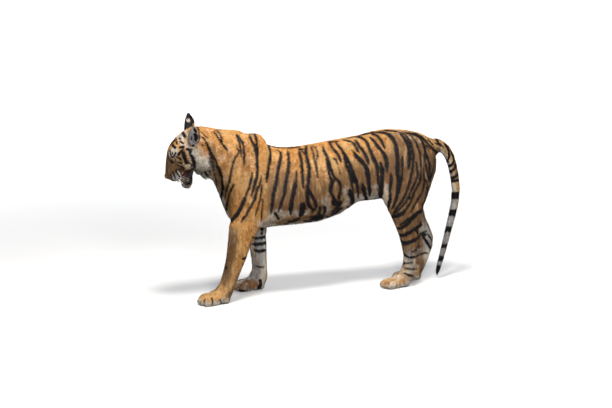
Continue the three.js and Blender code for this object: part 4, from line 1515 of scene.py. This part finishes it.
def coat_colour_group():
    inputs = [("Color", "Marks", None), ("Vector", "Place", None), ("Float", "Ragged", 0.10)]
    group, start, end = new_group("coat colours", inputs, [("Color", "Color"), ("Float", "Stripe")])
    marks = parts_of_colour(group, start.outputs["Marks"])
    where = start.outputs["Place"]
    fine = noise(group, where, 260, 4)
    broad = noise(group, where, 26, 3)
    upright = add(group, "ShaderNodeMapping", [("Vector", where), ("Scale", (1.0, 0.6, 0.2))])
    streaks = noise(group, upright.outputs[0], 62, 3, 0.6)
    patches = noise(group, where, 7, 2)
    shift = maths(group, "MULTIPLY", maths(group, "SUBTRACT", fine, 0.5), start.outputs["Ragged"])
    wide = maths(group, "MULTIPLY", maths(group, "SUBTRACT", broad, 0.5), 0.10)
    edge = maths(group, "ADD", maths(group, "ADD", marks[0], shift), wide)
    stripe = remap(group, edge, 0.535, 0.465)
    uneven = maths(group, "MULTIPLY", maths(group, "SUBTRACT", patches, 0.5), 0.5)
    warm = maths(group, "ADD", marks[2], uneven)
    # the dullest ground is umber, the coat's own brown, which also stands for painted shade where
    # the ground was dulled for it
    ground = mix(group, remap(group, warm, 0.0, 0.5), UMBER_AND_SHADE, TAN)
    ground = mix(group, remap(group, warm, 0.4, 1.0), ground, GOLD)
    grains = noise(group, where, 95, 3, 0.7)
    sandy = maths(group, "MULTIPLY", remap(group, grains, 0.52, 0.72), remap(group, warm, 0.15, 0.6))
    ground = mix(group, maths(group, "MULTIPLY", sandy, 0.85), ground, SAND)
    ground = mix(group, remap(group, grains, 0.47, 0.30, 0.0, 0.85), ground, RUST)
    ground = mix(group, remap(group, broad, 0.52, 0.34, 0.0, 0.62), ground, RUST)
    light = maths(group, "MULTIPLY", remap(group, patches, 0.48, 0.66), remap(group, warm, 0.2, 0.6))
    ground = mix(group, maths(group, "MULTIPLY", light, 0.5), ground, SAND)
    ground = mix(group, remap(group, streaks, 0.52, 0.72, 0.0, 0.55), ground, SAND)
    ground = mix(group, remap(group, streaks, 0.48, 0.30, 0.0, 0.50), ground, RUST)
    cream = mix(group, remap(group, broad, 0.35, 0.75), CREAM, OLD_CREAM)
    # where the ground is dulled the pale hair turns grey: painted shade for the most part
    cream = mix(group, remap(group, marks[2], 0.02, 0.10), PALE_IN_SHADE, cream)
    cream = mix(group, remap(group, streaks, 0.50, 0.32, 0.0, 0.60), cream, SHADE)
    cream = mix(group, remap(group, streaks, 0.52, 0.70, 0.0, 0.50), cream, CHALK)
    ragged_pale = maths(group, "ADD", marks[1], maths(group, "MULTIPLY", shift, 2.0))
    ragged_pale = maths(group, "ADD", ragged_pale, remap(group, broad, 0.3, 0.7, -0.22, 0.22))
    ragged_pale = maths(group, "ADD", ragged_pale, remap(group, grains, 0.3, 0.7, -0.12, 0.12))
    cream = mix(group, remap(group, grains, 0.50, 0.32, 0.0, 0.6), cream, DUST)
    ground = mix(group, remap(group, ragged_pale, 0.15, 0.90), ground, cream)
    flecks = remap(group, fine, 0.30, 0.72, 0.72, 1.18)
    ground = mix(group, 1.0, ground, flecks, "MULTIPLY")
    ink = mix(group, remap(group, fine, 0.45, 0.85), INK, SOOT)
    group.links.new(mix(group, stripe, ground, ink), end.inputs["Color"])
    group.links.new(stripe, end.inputs["Stripe"])
    return group


def grain_group():
    """Fine lines that run with the hair, from a place that is already stretched."""
    group, start, end = new_group("short hair", [("Vector", "Grain", None)], [("Float", "Height")])
    where = start.outputs["Grain"]
    fine = noise(group, where, 520, 3, 0.6)
    locks = noise(group, where, 120, 2)
    fine = maths(group, "MULTIPLY", fine, 0.7)
    locks = maths(group, "MULTIPLY", locks, 0.5)
    group.links.new(maths(group, "ADD", fine, locks), end.inputs["Height"])
    return group


def pebble_group():
    """The wet pebbled leather of a nose."""
    inputs = [("Vector", "Place", None), ("Float", "Size", 900.0)]
    group, start, end = new_group("pebbles", inputs, [("Float", "Height")])
    links = [("Vector", start.outputs["Place"]), ("Scale", start.outputs["Size"])]
    cells = add(group, "ShaderNodeTexVoronoi", links, feature="SMOOTH_F1").outputs["Distance"]
    group.links.new(remap(group, cells, 0.0, 0.7, 1.0, 0.0), end.inputs["Height"])
    return group


COAT_COLOURS = coat_colour_group()
SHORT_HAIR = grain_group()
PEBBLES = pebble_group()
print("groups:", [g.name for g in bpy.data.node_groups])

# %% [markdown]
# ## Materials
#
# The hide under the coat carries the coat's colours, a little darker, with the grain of short
# hair as bump. Where the skin is bare the same material turns to nose leather, to black lips
# and to the rims of the lids.

# %% Hide and coat
NOSE_LEATHER = (0.150, 0.075, 0.060, 1)
NOSE_SPOTS = (0.045, 0.030, 0.028, 1)
LIP = (0.012, 0.010, 0.012, 1)
LIP_SPOTS = (0.035, 0.022, 0.026, 1)
UNDER_THE_COAT = (0.80, 0.76, 0.72, 1)


def hide_material():
    material, tree, shader = new_material("hide", 0.62)
    where = object_place(tree)
    marks = attribute(tree, "marks")
    coat = place_group(tree, COAT_COLOURS, [("Marks", marks), ("Place", where), ("Ragged", 0.10)])
    bare = parts_of_colour(tree, attribute(tree, "bare"))
    under = mix(tree, 1.0, coat["Color"], UNDER_THE_COAT, "MULTIPLY")
    spots = noise(tree, where, 130, 3)
    leather = mix(tree, remap(tree, spots, 0.40, 0.62), NOSE_LEATHER, NOSE_SPOTS)
    lip = mix(tree, remap(tree, spots, 0.3, 0.7), LIP, LIP_SPOTS)
    colour = mix(tree, bare[0], under, leather)
    paint_with(tree, shader, mix(tree, bare[1], colour, lip))
    naked = maths(tree, "MAXIMUM", bare[0], bare[1])
    tree.links.new(remap(tree, naked, 0.0, 1.0, 0.68, 0.34), shader.inputs["Roughness"])
    hair = place_group(tree, SHORT_HAIR, [("Grain", attribute(tree, "grain", "Vector"))])["Height"]
    pebbles = place_group(tree, PEBBLES, [("Place", where), ("Size", 900.0)])["Height"]
    pebbles = maths(tree, "MULTIPLY", pebbles, 0.5)
    height = add(tree, "ShaderNodeMix", [(0, naked), (2, hair), (3, pebbles)]).outputs[0]
    raise_with(tree, shader, 0.7, 0.0012, height)
    return material


def coat_material():
    """Hair is darkened towards its root as painted shade, lighter at its tip, and each tuft has its
    own shade.
    """
    material, tree, shader = new_material("coat", 0.55)
    where = object_place(tree)
    marks = attribute(tree, "marks")
    coat = place_group(tree, COAT_COLOURS, [("Marks", marks), ("Place", where), ("Ragged", 0.05)])
    hair = parts_of_colour(tree, attribute(tree, "hair"))
    # the darkening towards the root is painted shade, where the tufts over it would shadow it
    root = remap(tree, hair[0], 0.0, 1.0, 0.74, 1.10)
    own = remap(tree, hair[1], 0.0, 1.0, 0.56, 1.38)
    shade = maths(tree, "MULTIPLY", root, own)
    paint_with(tree, shader, mix(tree, 1.0, coat["Color"], shade, "MULTIPLY"))
    shader.inputs["Sheen Weight"].default_value = 0.02
    shader.inputs["Sheen Roughness"].default_value = 0.5
    shader.inputs["Specular IOR Level"].default_value = 0.08
    raise_with(tree, shader, 0.25, 0.0004, noise(tree, where, 900, 2))
    return material


HIDE = hide_material()
COAT = coat_material()
skin.data.materials.clear()
skin.data.materials.append(HIDE)
print("materials:", HIDE.name, COAT.name)

# %% [markdown]
# ## The coat
#
# Export keeps no particle hair, so each tuft is a thin closed spike of real mesh. A short tuft
# is a pyramid of four faces laid along the body, like a flake. A long one has a bend in it. All
# tufts are built at once with arrays, because there are hundreds of thousands of them. What a
# tuft needs to know is stored on the skin first: length, width, lift and the lie of the hair.

# %% How long the hair is, and which way it lies
LENGTH = {"ear": 8, "nose": 2, "eye": 4, "jaw": 10, "head": 10, "neck": 22, "chest": 17}
LENGTH |= {"belly": 20, "hips": 17, "foot": 9, "lower": 13, "upper": 17, "tail": 15}
WIDTH = {"ear": 1.3, "nose": 0.8, "eye": 0.8, "jaw": 1.3, "head": 1.4, "foot": 1.4, "lower": 1.8}
LIFT = {"head": 13, "jaw": 15, "ear": 16, "neck": 17, "tail": 20, "foot": 13, "lower": 13}
SOLE = 0.006  # metres, no hair is planted lower
LONG_HAIR = [
    # more length in mm, centre and half size in the frame of the head
    (24, (-226, 100, -56), (44, 40, 48)),
    (14, (-180, 92, -70), (36, 34, 44)),
    (12, (-250, 92, 10), (44, 30, 44)),
    (10, (-262, 90, 78), (26, 20, 22)),
    (8, (-60, 30, -112), (60, 40, 24)),
    (12, (-150, 30, -126), (50, 50, 34)),
    (5, (-170, 84, 10), (36, 26, 40)),
]


def lie_of_hair():
    """The way the hair points, before it is laid on the surface."""
    way = np.tile([1.0, 0.0, -0.12], (len(place), 1))
    down = np.clip(turn * 1.6, 0, 1)
    way[:, 2] -= 0.62 * down * on_trunk_part
    legs = is_on("lower")[:, None]
    way = np.where(legs, [0.22, 0, -1.0], way)
    way = np.where((is_on("upper") & (place[:, 2] < 0.5))[:, None], [0.4, 0, -1.0], way)
    way = np.where(is_on("foot")[:, None], [-0.9, 0, -0.45], way)
    way = np.where(is_on("tail")[:, None], [0.1, 0, -1.0], way)
    side = np.sign(h[:, 1])
    flare = smooth_step(20, 90, np.abs(h[:, 1])) * 0.7
    one = np.ones(len(h))
    back = np.column_stack([-one, side * flare, -0.55 * smooth_step(20, -60, h[:, 2])])
    ruff = smooth_step(-150, -210, h[:, 0])[:, None] * (h[:, 2:3] < 40)
    back = back + ruff * np.column_stack([0.3 * one, 0.1 * side, -0.7 * one])
    back = turn_from_head(back)
    way = np.where(on_face[:, None], back, way)
    neck_side = (is_on("neck") & (h[:, 2] < 60))[:, None]
    way = np.where(neck_side, 0.6 * way + 0.5 * back, way)
    ears = np.column_stack([-0.3 * one, 0.1 * side, one])
    return np.where(is_on("ear")[:, None], turn_from_head(ears), way)


def along_surface(v, n):
    return unit(v - n * (v * n).sum(1)[:, None])


lie = web.spread(unit(lie_of_hair()), 8)
lie = along_surface(lie, facing)
length = web.spread(by_part(part, LENGTH, 18.0), 10)
half_head = np.column_stack([h[:, 0], np.abs(h[:, 1]), h[:, 2]])
for more, centre, size in LONG_HAIR:
    reach = (((half_head - centre) / size) ** 2).sum(1)
    length += more * smooth_step(1.6, 0.2, reach) * is_on("head", "jaw", "neck")
muzzle = smooth_step(-150, -60, h[:, 0]) * on_face
length *= 1 - 0.58 * muzzle * (h[:, 2] > -70)
length += 10 * smooth_step(0.80, 0.98, turn) * is_on("neck", "chest", "belly")
behind_leg = sum(
    smooth_step(140, 175, np.abs(round_leg(place, leg))) * is_on(leg + "_lower") for leg in LEGS
)
length += 7 * behind_leg
length *= 1 + 0.12 * ripple(place, 0.05, 21)
width = web.spread(by_part(part, WIDTH, 2.3), 8)
lift = web.spread(by_part(part, LIFT, 13.0), 8) + 5 * (length > 26)
bald = np.clip(bare[:, 0] + bare[:, 1] * 1.2, 0, 1)
eyes_off = np.zeros(len(h))
for side in (1, -1):
    near, gap = near_eye(h, side, 30, -6)
    eyes_off = np.maximum(eyes_off, near * smooth_step(-4.5, -2.5, gap))
bald = np.maximum(bald, eyes_off)
bald = np.maximum(bald, inside * 1.0)
bald = np.maximum(bald, place[:, 2] < SOLE)
print("hair from", round(length.min(), 1), "to", round(length.max(), 1), "mm")

# %% [markdown]
# Roots are spread by taking equal steps along the running total of face area, so that every
# patch of skin gets its share. Each root mixes what its face's three points store.

# %% Plant the roots
DENSITY = 100000  # tufts per square metre of trunk
MORE = {"ear": 3.2, "nose": 3.0, "eye": 3.0, "jaw": 3.0, "head": 2.9, "foot": 2.6, "lower": 1.8}
MORE |= {"tail": 2.0, "neck": 1.15}
rng = np.random.default_rng(31)
skin.data.calc_loop_triangles()
TRIANGLES = np.empty(len(skin.data.loop_triangles) * 3, np.int32)
skin.data.loop_triangles.foreach_get("vertices", TRIANGLES)
TRIANGLES = TRIANGLES.reshape(-1, 3)
CORNERS = np.empty(len(TRIANGLES) * 3, np.int32)
skin.data.loop_triangles.foreach_get("loops", CORNERS)
UVS = np.empty(len(skin.data.loops) * 2, np.float32)
skin.data.uv_layers["OFBake"].data.foreach_get("uv", UVS)
UVS = UVS.reshape(-1, 2)[CORNERS.reshape(-1, 3)]


def plant(per_area):
    a, b, c = (place[TRIANGLES[:, i]] for i in range(3))
    area = 0.5 * np.linalg.norm(np.cross(b - a, c - a), axis=1)
    share = np.cumsum(area * per_area[TRIANGLES].mean(1))
    count = int(share[-1])
    steps = (np.arange(count) + rng.random(count)) / count * share[-1]
    face = np.minimum(np.searchsorted(share, steps), len(TRIANGLES) - 1)
    u, v = np.sqrt(rng.random(count)), rng.random(count)
    weights = np.column_stack([1 - u, u * (1 - v), u * v])
    return face, weights


def from_skin(values, face, weights):
    corners = values[TRIANGLES[face]]
    return np.einsum("ij,ij...->i...", weights, corners)


density = web.spread(by_part(part, MORE, 1.0), 6) * (1 - bald) * DENSITY
FACE_OF, WEIGHTS = plant(density)
ROOTS = from_skin(place, FACE_OF, WEIGHTS)
root_part = part[TRIANGLES[FACE_OF][:, 0]]
root_lie = from_skin(lie, FACE_OF, WEIGHTS)
root_length = from_skin(length, FACE_OF, WEIGHTS) * MM
SEEN_AT = 0.42  # of its length, where a tuft shows between the ones that lie over it
shown = ROOTS + root_lie * root_length[:, None] * SEEN_AT
ROOT_DISTANCE = stripe_distance(shown, named(root_part, "tail"))
ROOT_DISTANCE[from_skin(black, FACE_OF, WEIGHTS) > 0.5] = -FAR
print("tufts:", len(ROOTS))


# %% The shape of a tuft
def turned(v, axis, angle):
    """Vectors turned about unit axes by angles in radians."""
    cos, sin = np.cos(angle)[:, None], np.sin(angle)[:, None]
    return v * cos + np.cross(axis, v) * sin


FLAT = [(0, 1, 2), (0, 3, 1), (1, 3, 2), (2, 3, 0)]
BENT = [(0, 1, 2), (0, 4, 1), (0, 3, 4), (1, 5, 2), (1, 4, 5), (2, 3, 0), (2, 5, 3)]
BENT += [(3, 6, 4), (4, 6, 5), (5, 6, 3)]
LONG = 24.0  # tufts over this length in mm have a bend
SUNK = 0.07  # of its length, how deep the root sits
LOWEST = 0.0004  # no hair goes below this height over the floor
PATCH = 0.0015  # half the width of a tuft's patch on the unwrap
PIECE_FACES, COAT_FACES = 200000, 1500000  # the most for one piece and for the whole coat


class Tufts:
    """Everything about a set of tufts, worked out from their roots."""

    def __init__(self, chosen, long):
        face, weights = FACE_OF[chosen], WEIGHTS[chosen]
        n = unit(from_skin(facing, face, weights))
        d = along_surface(from_skin(lie, face, weights), n)
        root = ROOTS[chosen]
        count = len(root)
        own = np.random.default_rng(len(root))
        clump = 0.20 * ripple(root, 0.028, 41) + 0.10 * ripple(root, 0.012, 42)
        d = turned(d, n, clump + own.normal(0, 0.13, count))
        size = from_skin(length, face, weights) * MM
        size = size * own.uniform(0.72, 1.12, count)
        wide = from_skin(width, face, weights) * MM * own.uniform(0.8, 1.15, count)
        rise = np.radians(from_skin(lift, face, weights)) * (0.75 + 0.5 * own.random(count))
        rise = rise + 0.05 * ripple(root, 0.035, 43)
        side = np.cross(n, d)
        half = wide[:, None] / 2
        base = root - n * (size * SUNK)[:, None]
        left, right = base + side * half, base - side * half
        crown = base + n * half * 0.8
        aim = d * np.cos(rise)[:, None] + n * np.sin(rise)[:, None]
        if long:
            middle = base + aim * (size * 0.5)[:, None]
            fall = d * np.cos(rise * 0.2)[:, None] + n * np.sin(rise * 0.2)[:, None]
            fall = unit(fall + [0, 0, -0.28])
            tip = middle + fall * (size * 0.5)[:, None]
            slim = 0.72
            rows = [left, right, crown, middle + side * half * slim, middle - side * half * slim,
                    middle + n * half * slim * 0.7, tip]
            strand = [0, 0, 0, 0.5, 0.5, 0.55, 1]
            spread = [(-1, -1), (1, -1), (0, 0), (-0.7, 0), (0.7, 0), (0, 0.3), (0, 1)]
            shape = [side, -side, n, side, -side, n, n]
        else:
            tip = base + aim * size[:, None]
            rows = [left, right, crown, tip]
            strand = [0, 0, 0, 1]
            spread = [(-1, -1), (1, -1), (0, 0), (0, 1)]
            shape = [side, -side, n, n]
        self.faces = np.array(BENT if long else FLAT)
        self.points = np.stack(rows, axis=1)
        self.points[:, :, 2] = np.maximum(self.points[:, :, 2], LOWEST)
        self.normals = unit(np.stack([n + 0.5 * s for s in shape], axis=1))
        shade = 0.5 + 0.20 * own.normal(size=count) + 0.16 * ripple(root, 0.022, 44)
        shade = np.clip(shade + 0.12 * ripple(root, 0.07, 45), 0, 1)
        self.hair = np.ones((count, len(rows), 4))
        self.hair[:, :, 0] = strand
        self.hair[:, :, 1] = shade[:, None]
        marks = from_skin(MARKS, face, weights)
        marks[:, 0] = 0.5 + ROOT_DISTANCE[chosen] / (2 * FAR)
        self.marks = np.repeat(marks[:, None], len(rows), axis=1)
        uv = np.einsum("ij,ijk->ik", weights, UVS[face])
        self.uv = uv[:, None] + PATCH * np.array(spread)[None]


def coat_piece(name, chosen):
    """One mesh from the short and the long tufts of a region."""
    sizes = from_skin(length, FACE_OF[chosen], WEIGHTS[chosen])
    kinds = [Tufts(chosen[sizes <= LONG], False), Tufts(chosen[sizes > LONG], True)]
    rows = {"points": [], "normals": [], "hair": [], "marks": [], "uv": []}
    faces, start = [], 0
    for kind in kinds:
        count, corners = kind.points.shape[:2]
        if not count:
            continue
        first = start + np.arange(count)[:, None, None] * corners
        faces.append((first + kind.faces[None]).reshape(-1, 3))
        start += count * corners
        for key, values in rows.items():
            made = getattr(kind, key)
            values.append(made.reshape(-1, made.shape[-1]))
    rows = {key: np.vstack(values).astype(np.float32) for key, values in rows.items()}
    faces = np.vstack(faces)
    mesh = bpy.data.meshes.new(name)
    mesh.vertices.add(len(rows["points"]))
    mesh.vertices.foreach_set("co", rows["points"].ravel())
    mesh.loops.add(faces.size)
    mesh.loops.foreach_set("vertex_index", faces.astype(np.int32).ravel())
    mesh.polygons.add(len(faces))
    mesh.polygons.foreach_set("loop_start", np.arange(len(faces), dtype=np.int32) * 3)
    mesh.update(calc_edges=True)
    mesh.polygons.foreach_set("use_smooth", np.ones(len(faces), bool))
    layer = mesh.uv_layers.new(name="OFBake")
    layer.data.foreach_set("uv", rows["uv"][faces.ravel()].ravel())
    store(mesh, "marks", "FLOAT_COLOR", rows["marks"])
    store(mesh, "hair", "FLOAT_COLOR", rows["hair"])
    mesh.materials.append(COAT)
    mesh.normals_split_custom_set_from_vertices(rows["normals"])
    piece = bpy.data.objects.new(name, mesh)
    bpy.context.collection.objects.link(piece)
    assert len(faces) < PIECE_FACES, name + " has too many faces"
    return piece


print("faces of a short and of a long tuft:", len(FLAT), len(BENT))

# %% Coat in pieces
REGIONS = {
    "head": ("head", "jaw", "nose", "eye", "ear"),
    "neck": ("neck",),
    "shoulder": ("fore_left_upper", "fore_right_upper"),
    "chest": ("chest",),
    "flank": ("belly",),
    "rump": ("hips",),
    "thigh": ("hind_left_upper", "hind_right_upper"),
    "forearm": ("fore_left_lower", "fore_right_lower", "fore_left_foot", "fore_right_foot"),
    "shank": ("hind_left_lower", "hind_right_lower", "hind_left_foot", "hind_right_foot"),
    "tail": ("tail",),
}
coats = []
for region, words in REGIONS.items():
    here = named(root_part, *words)
    for side, label in ((-1, "_left"), (1, "_right")):
        on_side = np.sign(ROOTS[:, 1] - SPINE_Y) == side
        if region == "head":
            on_side = np.sign(-to_head(ROOTS)[:, 1]) == side
        if region == "tail":
            on_side = side < 0
            label = ""
        chosen = np.flatnonzero(here & on_side)
        if len(chosen):
            coats.append(coat_piece("coat_" + region + label, chosen))
            print(coats[-1].name, len(coats[-1].data.polygons))
total = sum(len(coat.data.polygons) for coat in coats)
print("coat faces in all:", total)
assert total < COAT_FACES, "the coat has too many faces"

# %% [markdown]
# ## Eyes
#
# An eye is a ball with a bulge over the iris. One material paints it all from a stored
# direction: a round black pupil, an amber iris with fine rays and a dark rim, and a white that
# a tiger hardly shows. A clear coat on top gives the wet shine.

# %% The eye material
# the iris is a darker amber than a tiger's, partly painted shade for an eye that sits in shadow
IRIS_IN_SHADE, IRIS_RAYS = (0.13, 0.058, 0.010, 1), (0.32, 0.165, 0.032, 1)
IRIS_INNER, IRIS_RIM = (0.26, 0.17, 0.045, 1), (0.02, 0.012, 0.008, 1)
WHITE_EDGE, WHITE = (0.05, 0.03, 0.025, 1), (0.42, 0.33, 0.28, 1)
PUPIL = (0.004, 0.003, 0.003, 1)


def eye_material():
    material, tree, shader = new_material("eye", 0.22)
    gaze = attribute(tree, "gaze", "Vector")
    axes = add(tree, "ShaderNodeSeparateXYZ", [("Vector", gaze)]).outputs
    across, upward = (maths(tree, "POWER", axes[i], 2.0) for i in range(2))
    out = maths(tree, "SQRT", maths(tree, "ADD", across, upward))
    out = maths(tree, "ADD", out, remap(tree, axes[2], 0.0, 0.05, 1.0, 0.0))
    angle = maths(tree, "ARCTAN2", axes[1], axes[0])
    rays = [("X", angle), ("Y", maths(tree, "MULTIPLY", out, 1.6))]
    fibres = noise(tree, add(tree, "ShaderNodeCombineXYZ", rays).outputs[0], 14, 4)
    iris = mix(tree, remap(tree, fibres, 0.35, 0.7), IRIS_IN_SHADE, IRIS_RAYS)
    iris = mix(tree, remap(tree, out, 0.30, 0.42), IRIS_INNER, iris)
    iris = mix(tree, remap(tree, out, 0.52, 0.62), iris, IRIS_RIM)
    white = mix(tree, remap(tree, out, 0.66, 0.80), WHITE_EDGE, WHITE)
    colour = mix(tree, remap(tree, out, 0.60, 0.64), iris, white)
    paint_with(tree, shader, mix(tree, remap(tree, out, 0.21, 0.24), PUPIL, colour))
    shader.inputs["Coat Weight"].default_value = 1.0
    shader.inputs["Coat Roughness"].default_value = 0.03
    raise_with(tree, shader, 0.12, 0.0003, fibres)
    return material


EYE_PAINT = eye_material()
for eye in eyes:
    eye.data.materials.clear()
    eye.data.materials.append(EYE_PAINT)
print("eyes painted:", [eye.name for eye in eyes])

# %% [markdown]
# ## Teeth, tongue, claws and whiskers
#
# The solids of the first three already have the right outline, so copies are joined into one
# piece for each kind and rounded by a Subdivision Surface modifier. The whiskers have no solid
# and are grown as thin tubes.

# %% Rounded copies
TONGUE, TONGUE_BLOTCH = (0.20, 0.062, 0.062, 1), (0.11, 0.042, 0.046, 1)


def rounded_copy(nodes, name, levels):
    made = joined_copy(nodes, name)
    edit_all(made, bpy.ops.mesh.remove_doubles, threshold=1e-5)
    modifier = made.modifiers.new("round", "SUBSURF")
    modifier.levels = modifier.render_levels = levels
    bpy.ops.object.modifier_apply(modifier="round")
    bpy.ops.object.shade_smooth()
    return made


def horn_material(name, light, dark, roughness):
    """Layered horn or enamel: faint growth lines and stains."""
    material, tree, shader = new_material(name, roughness)
    where = object_place(tree)
    stretched = add(tree, "ShaderNodeMapping", [("Vector", where), ("Scale", (300, 300, 900))])
    growth = noise(tree, stretched.outputs[0], 1.0, 3)
    stains = remap(tree, noise(tree, where, 160, 3), 0.3, 0.65)
    factor = maths(tree, "MULTIPLY", remap(tree, growth, 0.35, 0.7), stains)
    paint_with(tree, shader, mix(tree, factor, light, dark))
    shader.inputs["Coat Weight"].default_value = 0.4
    shader.inputs["Coat Roughness"].default_value = 0.15
    raise_with(tree, shader, 0.2, 0.0002, growth)
    return material


def tongue_material():
    material, tree, shader = new_material("tongue", 0.42)
    where = object_place(tree)
    blotch = remap(tree, noise(tree, where, 60, 3), 0.35, 0.65)
    paint_with(tree, shader, mix(tree, blotch, TONGUE, TONGUE_BLOTCH))
    barbs = place_group(tree, PEBBLES, [("Place", where), ("Size", 520.0)])["Height"]
    raise_with(tree, shader, 0.6, 0.0008, barbs)
    return material


ENAMEL = horn_material("enamel", (0.56, 0.50, 0.38, 1), (0.36, 0.27, 0.17, 1), 0.30)
HORN = horn_material("horn", (0.36, 0.30, 0.23, 1), (0.10, 0.075, 0.06, 1), 0.35)
CLAWS = [n for n in sorted(NODES) if "claw" in n]
CANINES = [n for n in sorted(NODES) if "canine" in n]
claws = rounded_copy(CLAWS, "claws", 2)
claws.data.materials.append(HORN)
teeth = rounded_copy(CANINES, "canine_teeth", 2)
teeth.data.materials.append(ENAMEL)
tongue = rounded_copy(["tongue"], "tongue_soft", 2)
tongue.data.materials.append(tongue_material())
print("claws:", len(CLAWS), "canines:", len(CANINES))


# %% Whiskers
WHISKER, WHISKER_BAND = (0.78, 0.75, 0.68, 1), (0.55, 0.50, 0.42, 1)
WHISKER_ROWS = 4
WHISKERS_IN_ROW = 5
SIDES = 4
RINGS = 7
THICK = 0.42 * MM


def whisker(root, way, droop, size, thick):
    """A stiff hair that thins to a point, as rings of a tube closed at both ends."""
    side = unit(np.cross(way, [0, 0, 1]))
    over = np.cross(side, way)
    t = np.linspace(0, 1, RINGS)[:, None]
    middle = root + way * size * t + droop * size * t**2
    rows = []
    for i in range(RINGS - 1):
        radius = thick * (1 - 0.9 * t[i])
        turns = np.arange(SIDES) * 2 * math.pi / SIDES
        ring = np.outer(np.cos(turns), side) + np.outer(np.sin(turns), over)
        rows.append(middle[i] + radius * ring)
    points = np.vstack([*rows, middle[-1:]])
    faces = []
    for i in range(RINGS - 2):
        for k in range(SIDES):
            a, b = i * SIDES + k, i * SIDES + (k + 1) % SIDES
            faces.append((a, b, b + SIDES, a + SIDES))
    last = (RINGS - 2) * SIDES
    faces += [(last + k, last + (k + 1) % SIDES, last + SIDES) for k in range(SIDES)]
    faces.append(tuple(range(SIDES))[::-1])
    return points, faces


def grow_whiskers():
    own = np.random.default_rng(5)
    points, faces, start = [], [], 0
    for side in (1, -1):
        for row in range(WHISKER_ROWS):
            for k in range(WHISKERS_IN_ROW):
                at = np.array([-22 - 9 * k - 3 * row, 40 * side, 4 - 12 * row - 5 * k])
                root = on_head(at)
                way = np.array([-0.35 - 0.06 * k, side, -0.12 - 0.10 * row]) + own.normal(0, 0.05, 3)
                size = (46 + 11 * k + own.uniform(-6, 6)) * MM
                droop = np.array([0.10, 0, -0.22]) + own.normal(0, 0.03, 3)
                p, f = whisker(root, turn_from_head(unit(way)), droop, size, THICK)
                points.append(p)
                faces += [tuple(start + i for i in face) for face in f]
                start += len(p)
    mesh = bpy.data.meshes.new("whiskers")
    mesh.from_pydata(np.vstack(points).tolist(), [], faces)
    made = bpy.data.objects.new("whiskers", mesh)
    bpy.context.collection.objects.link(made)
    edit_all(made, bpy.ops.mesh.normals_make_consistent, inside=False)
    bpy.ops.object.shade_smooth()
    return made


def whisker_material():
    material, tree, shader = new_material("whisker", 0.35)
    bands = remap(tree, noise(tree, object_place(tree), 90, 2), 0.35, 0.7)
    paint_with(tree, shader, mix(tree, bands, WHISKER, WHISKER_BAND))
    return material


whiskers = grow_whiskers()
whiskers.data.materials.append(whisker_material())
print("whiskers:", 2 * WHISKER_ROWS * WHISKERS_IN_ROW)

# %% [markdown]
# ## The pieces on one body
#
# The model is still, so every piece rides on the one body. Each says which solids it stands
# for, and those are hidden.

# %% Bodies, and the solids each piece stands for
SOFT = [n for n in FLESH if n not in EYES]
OWNERS = [
    (skin, "striped_coat", SOFT),
    (eyes[0], "eye", ["eye_left"]),
    (eyes[1], "eye", ["eye_right"]),
    (claws, "claw", CLAWS),
    (teeth, "tooth", CANINES),
    (tongue, "tongue", ["tongue"]),
    (whiskers, "tooth", []),
]
OWNERS += [(coat, "striped_coat", []) for coat in coats]
for piece, slot, nodes in OWNERS:
    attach(piece, "root")
    if nodes:
        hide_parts(*nodes)
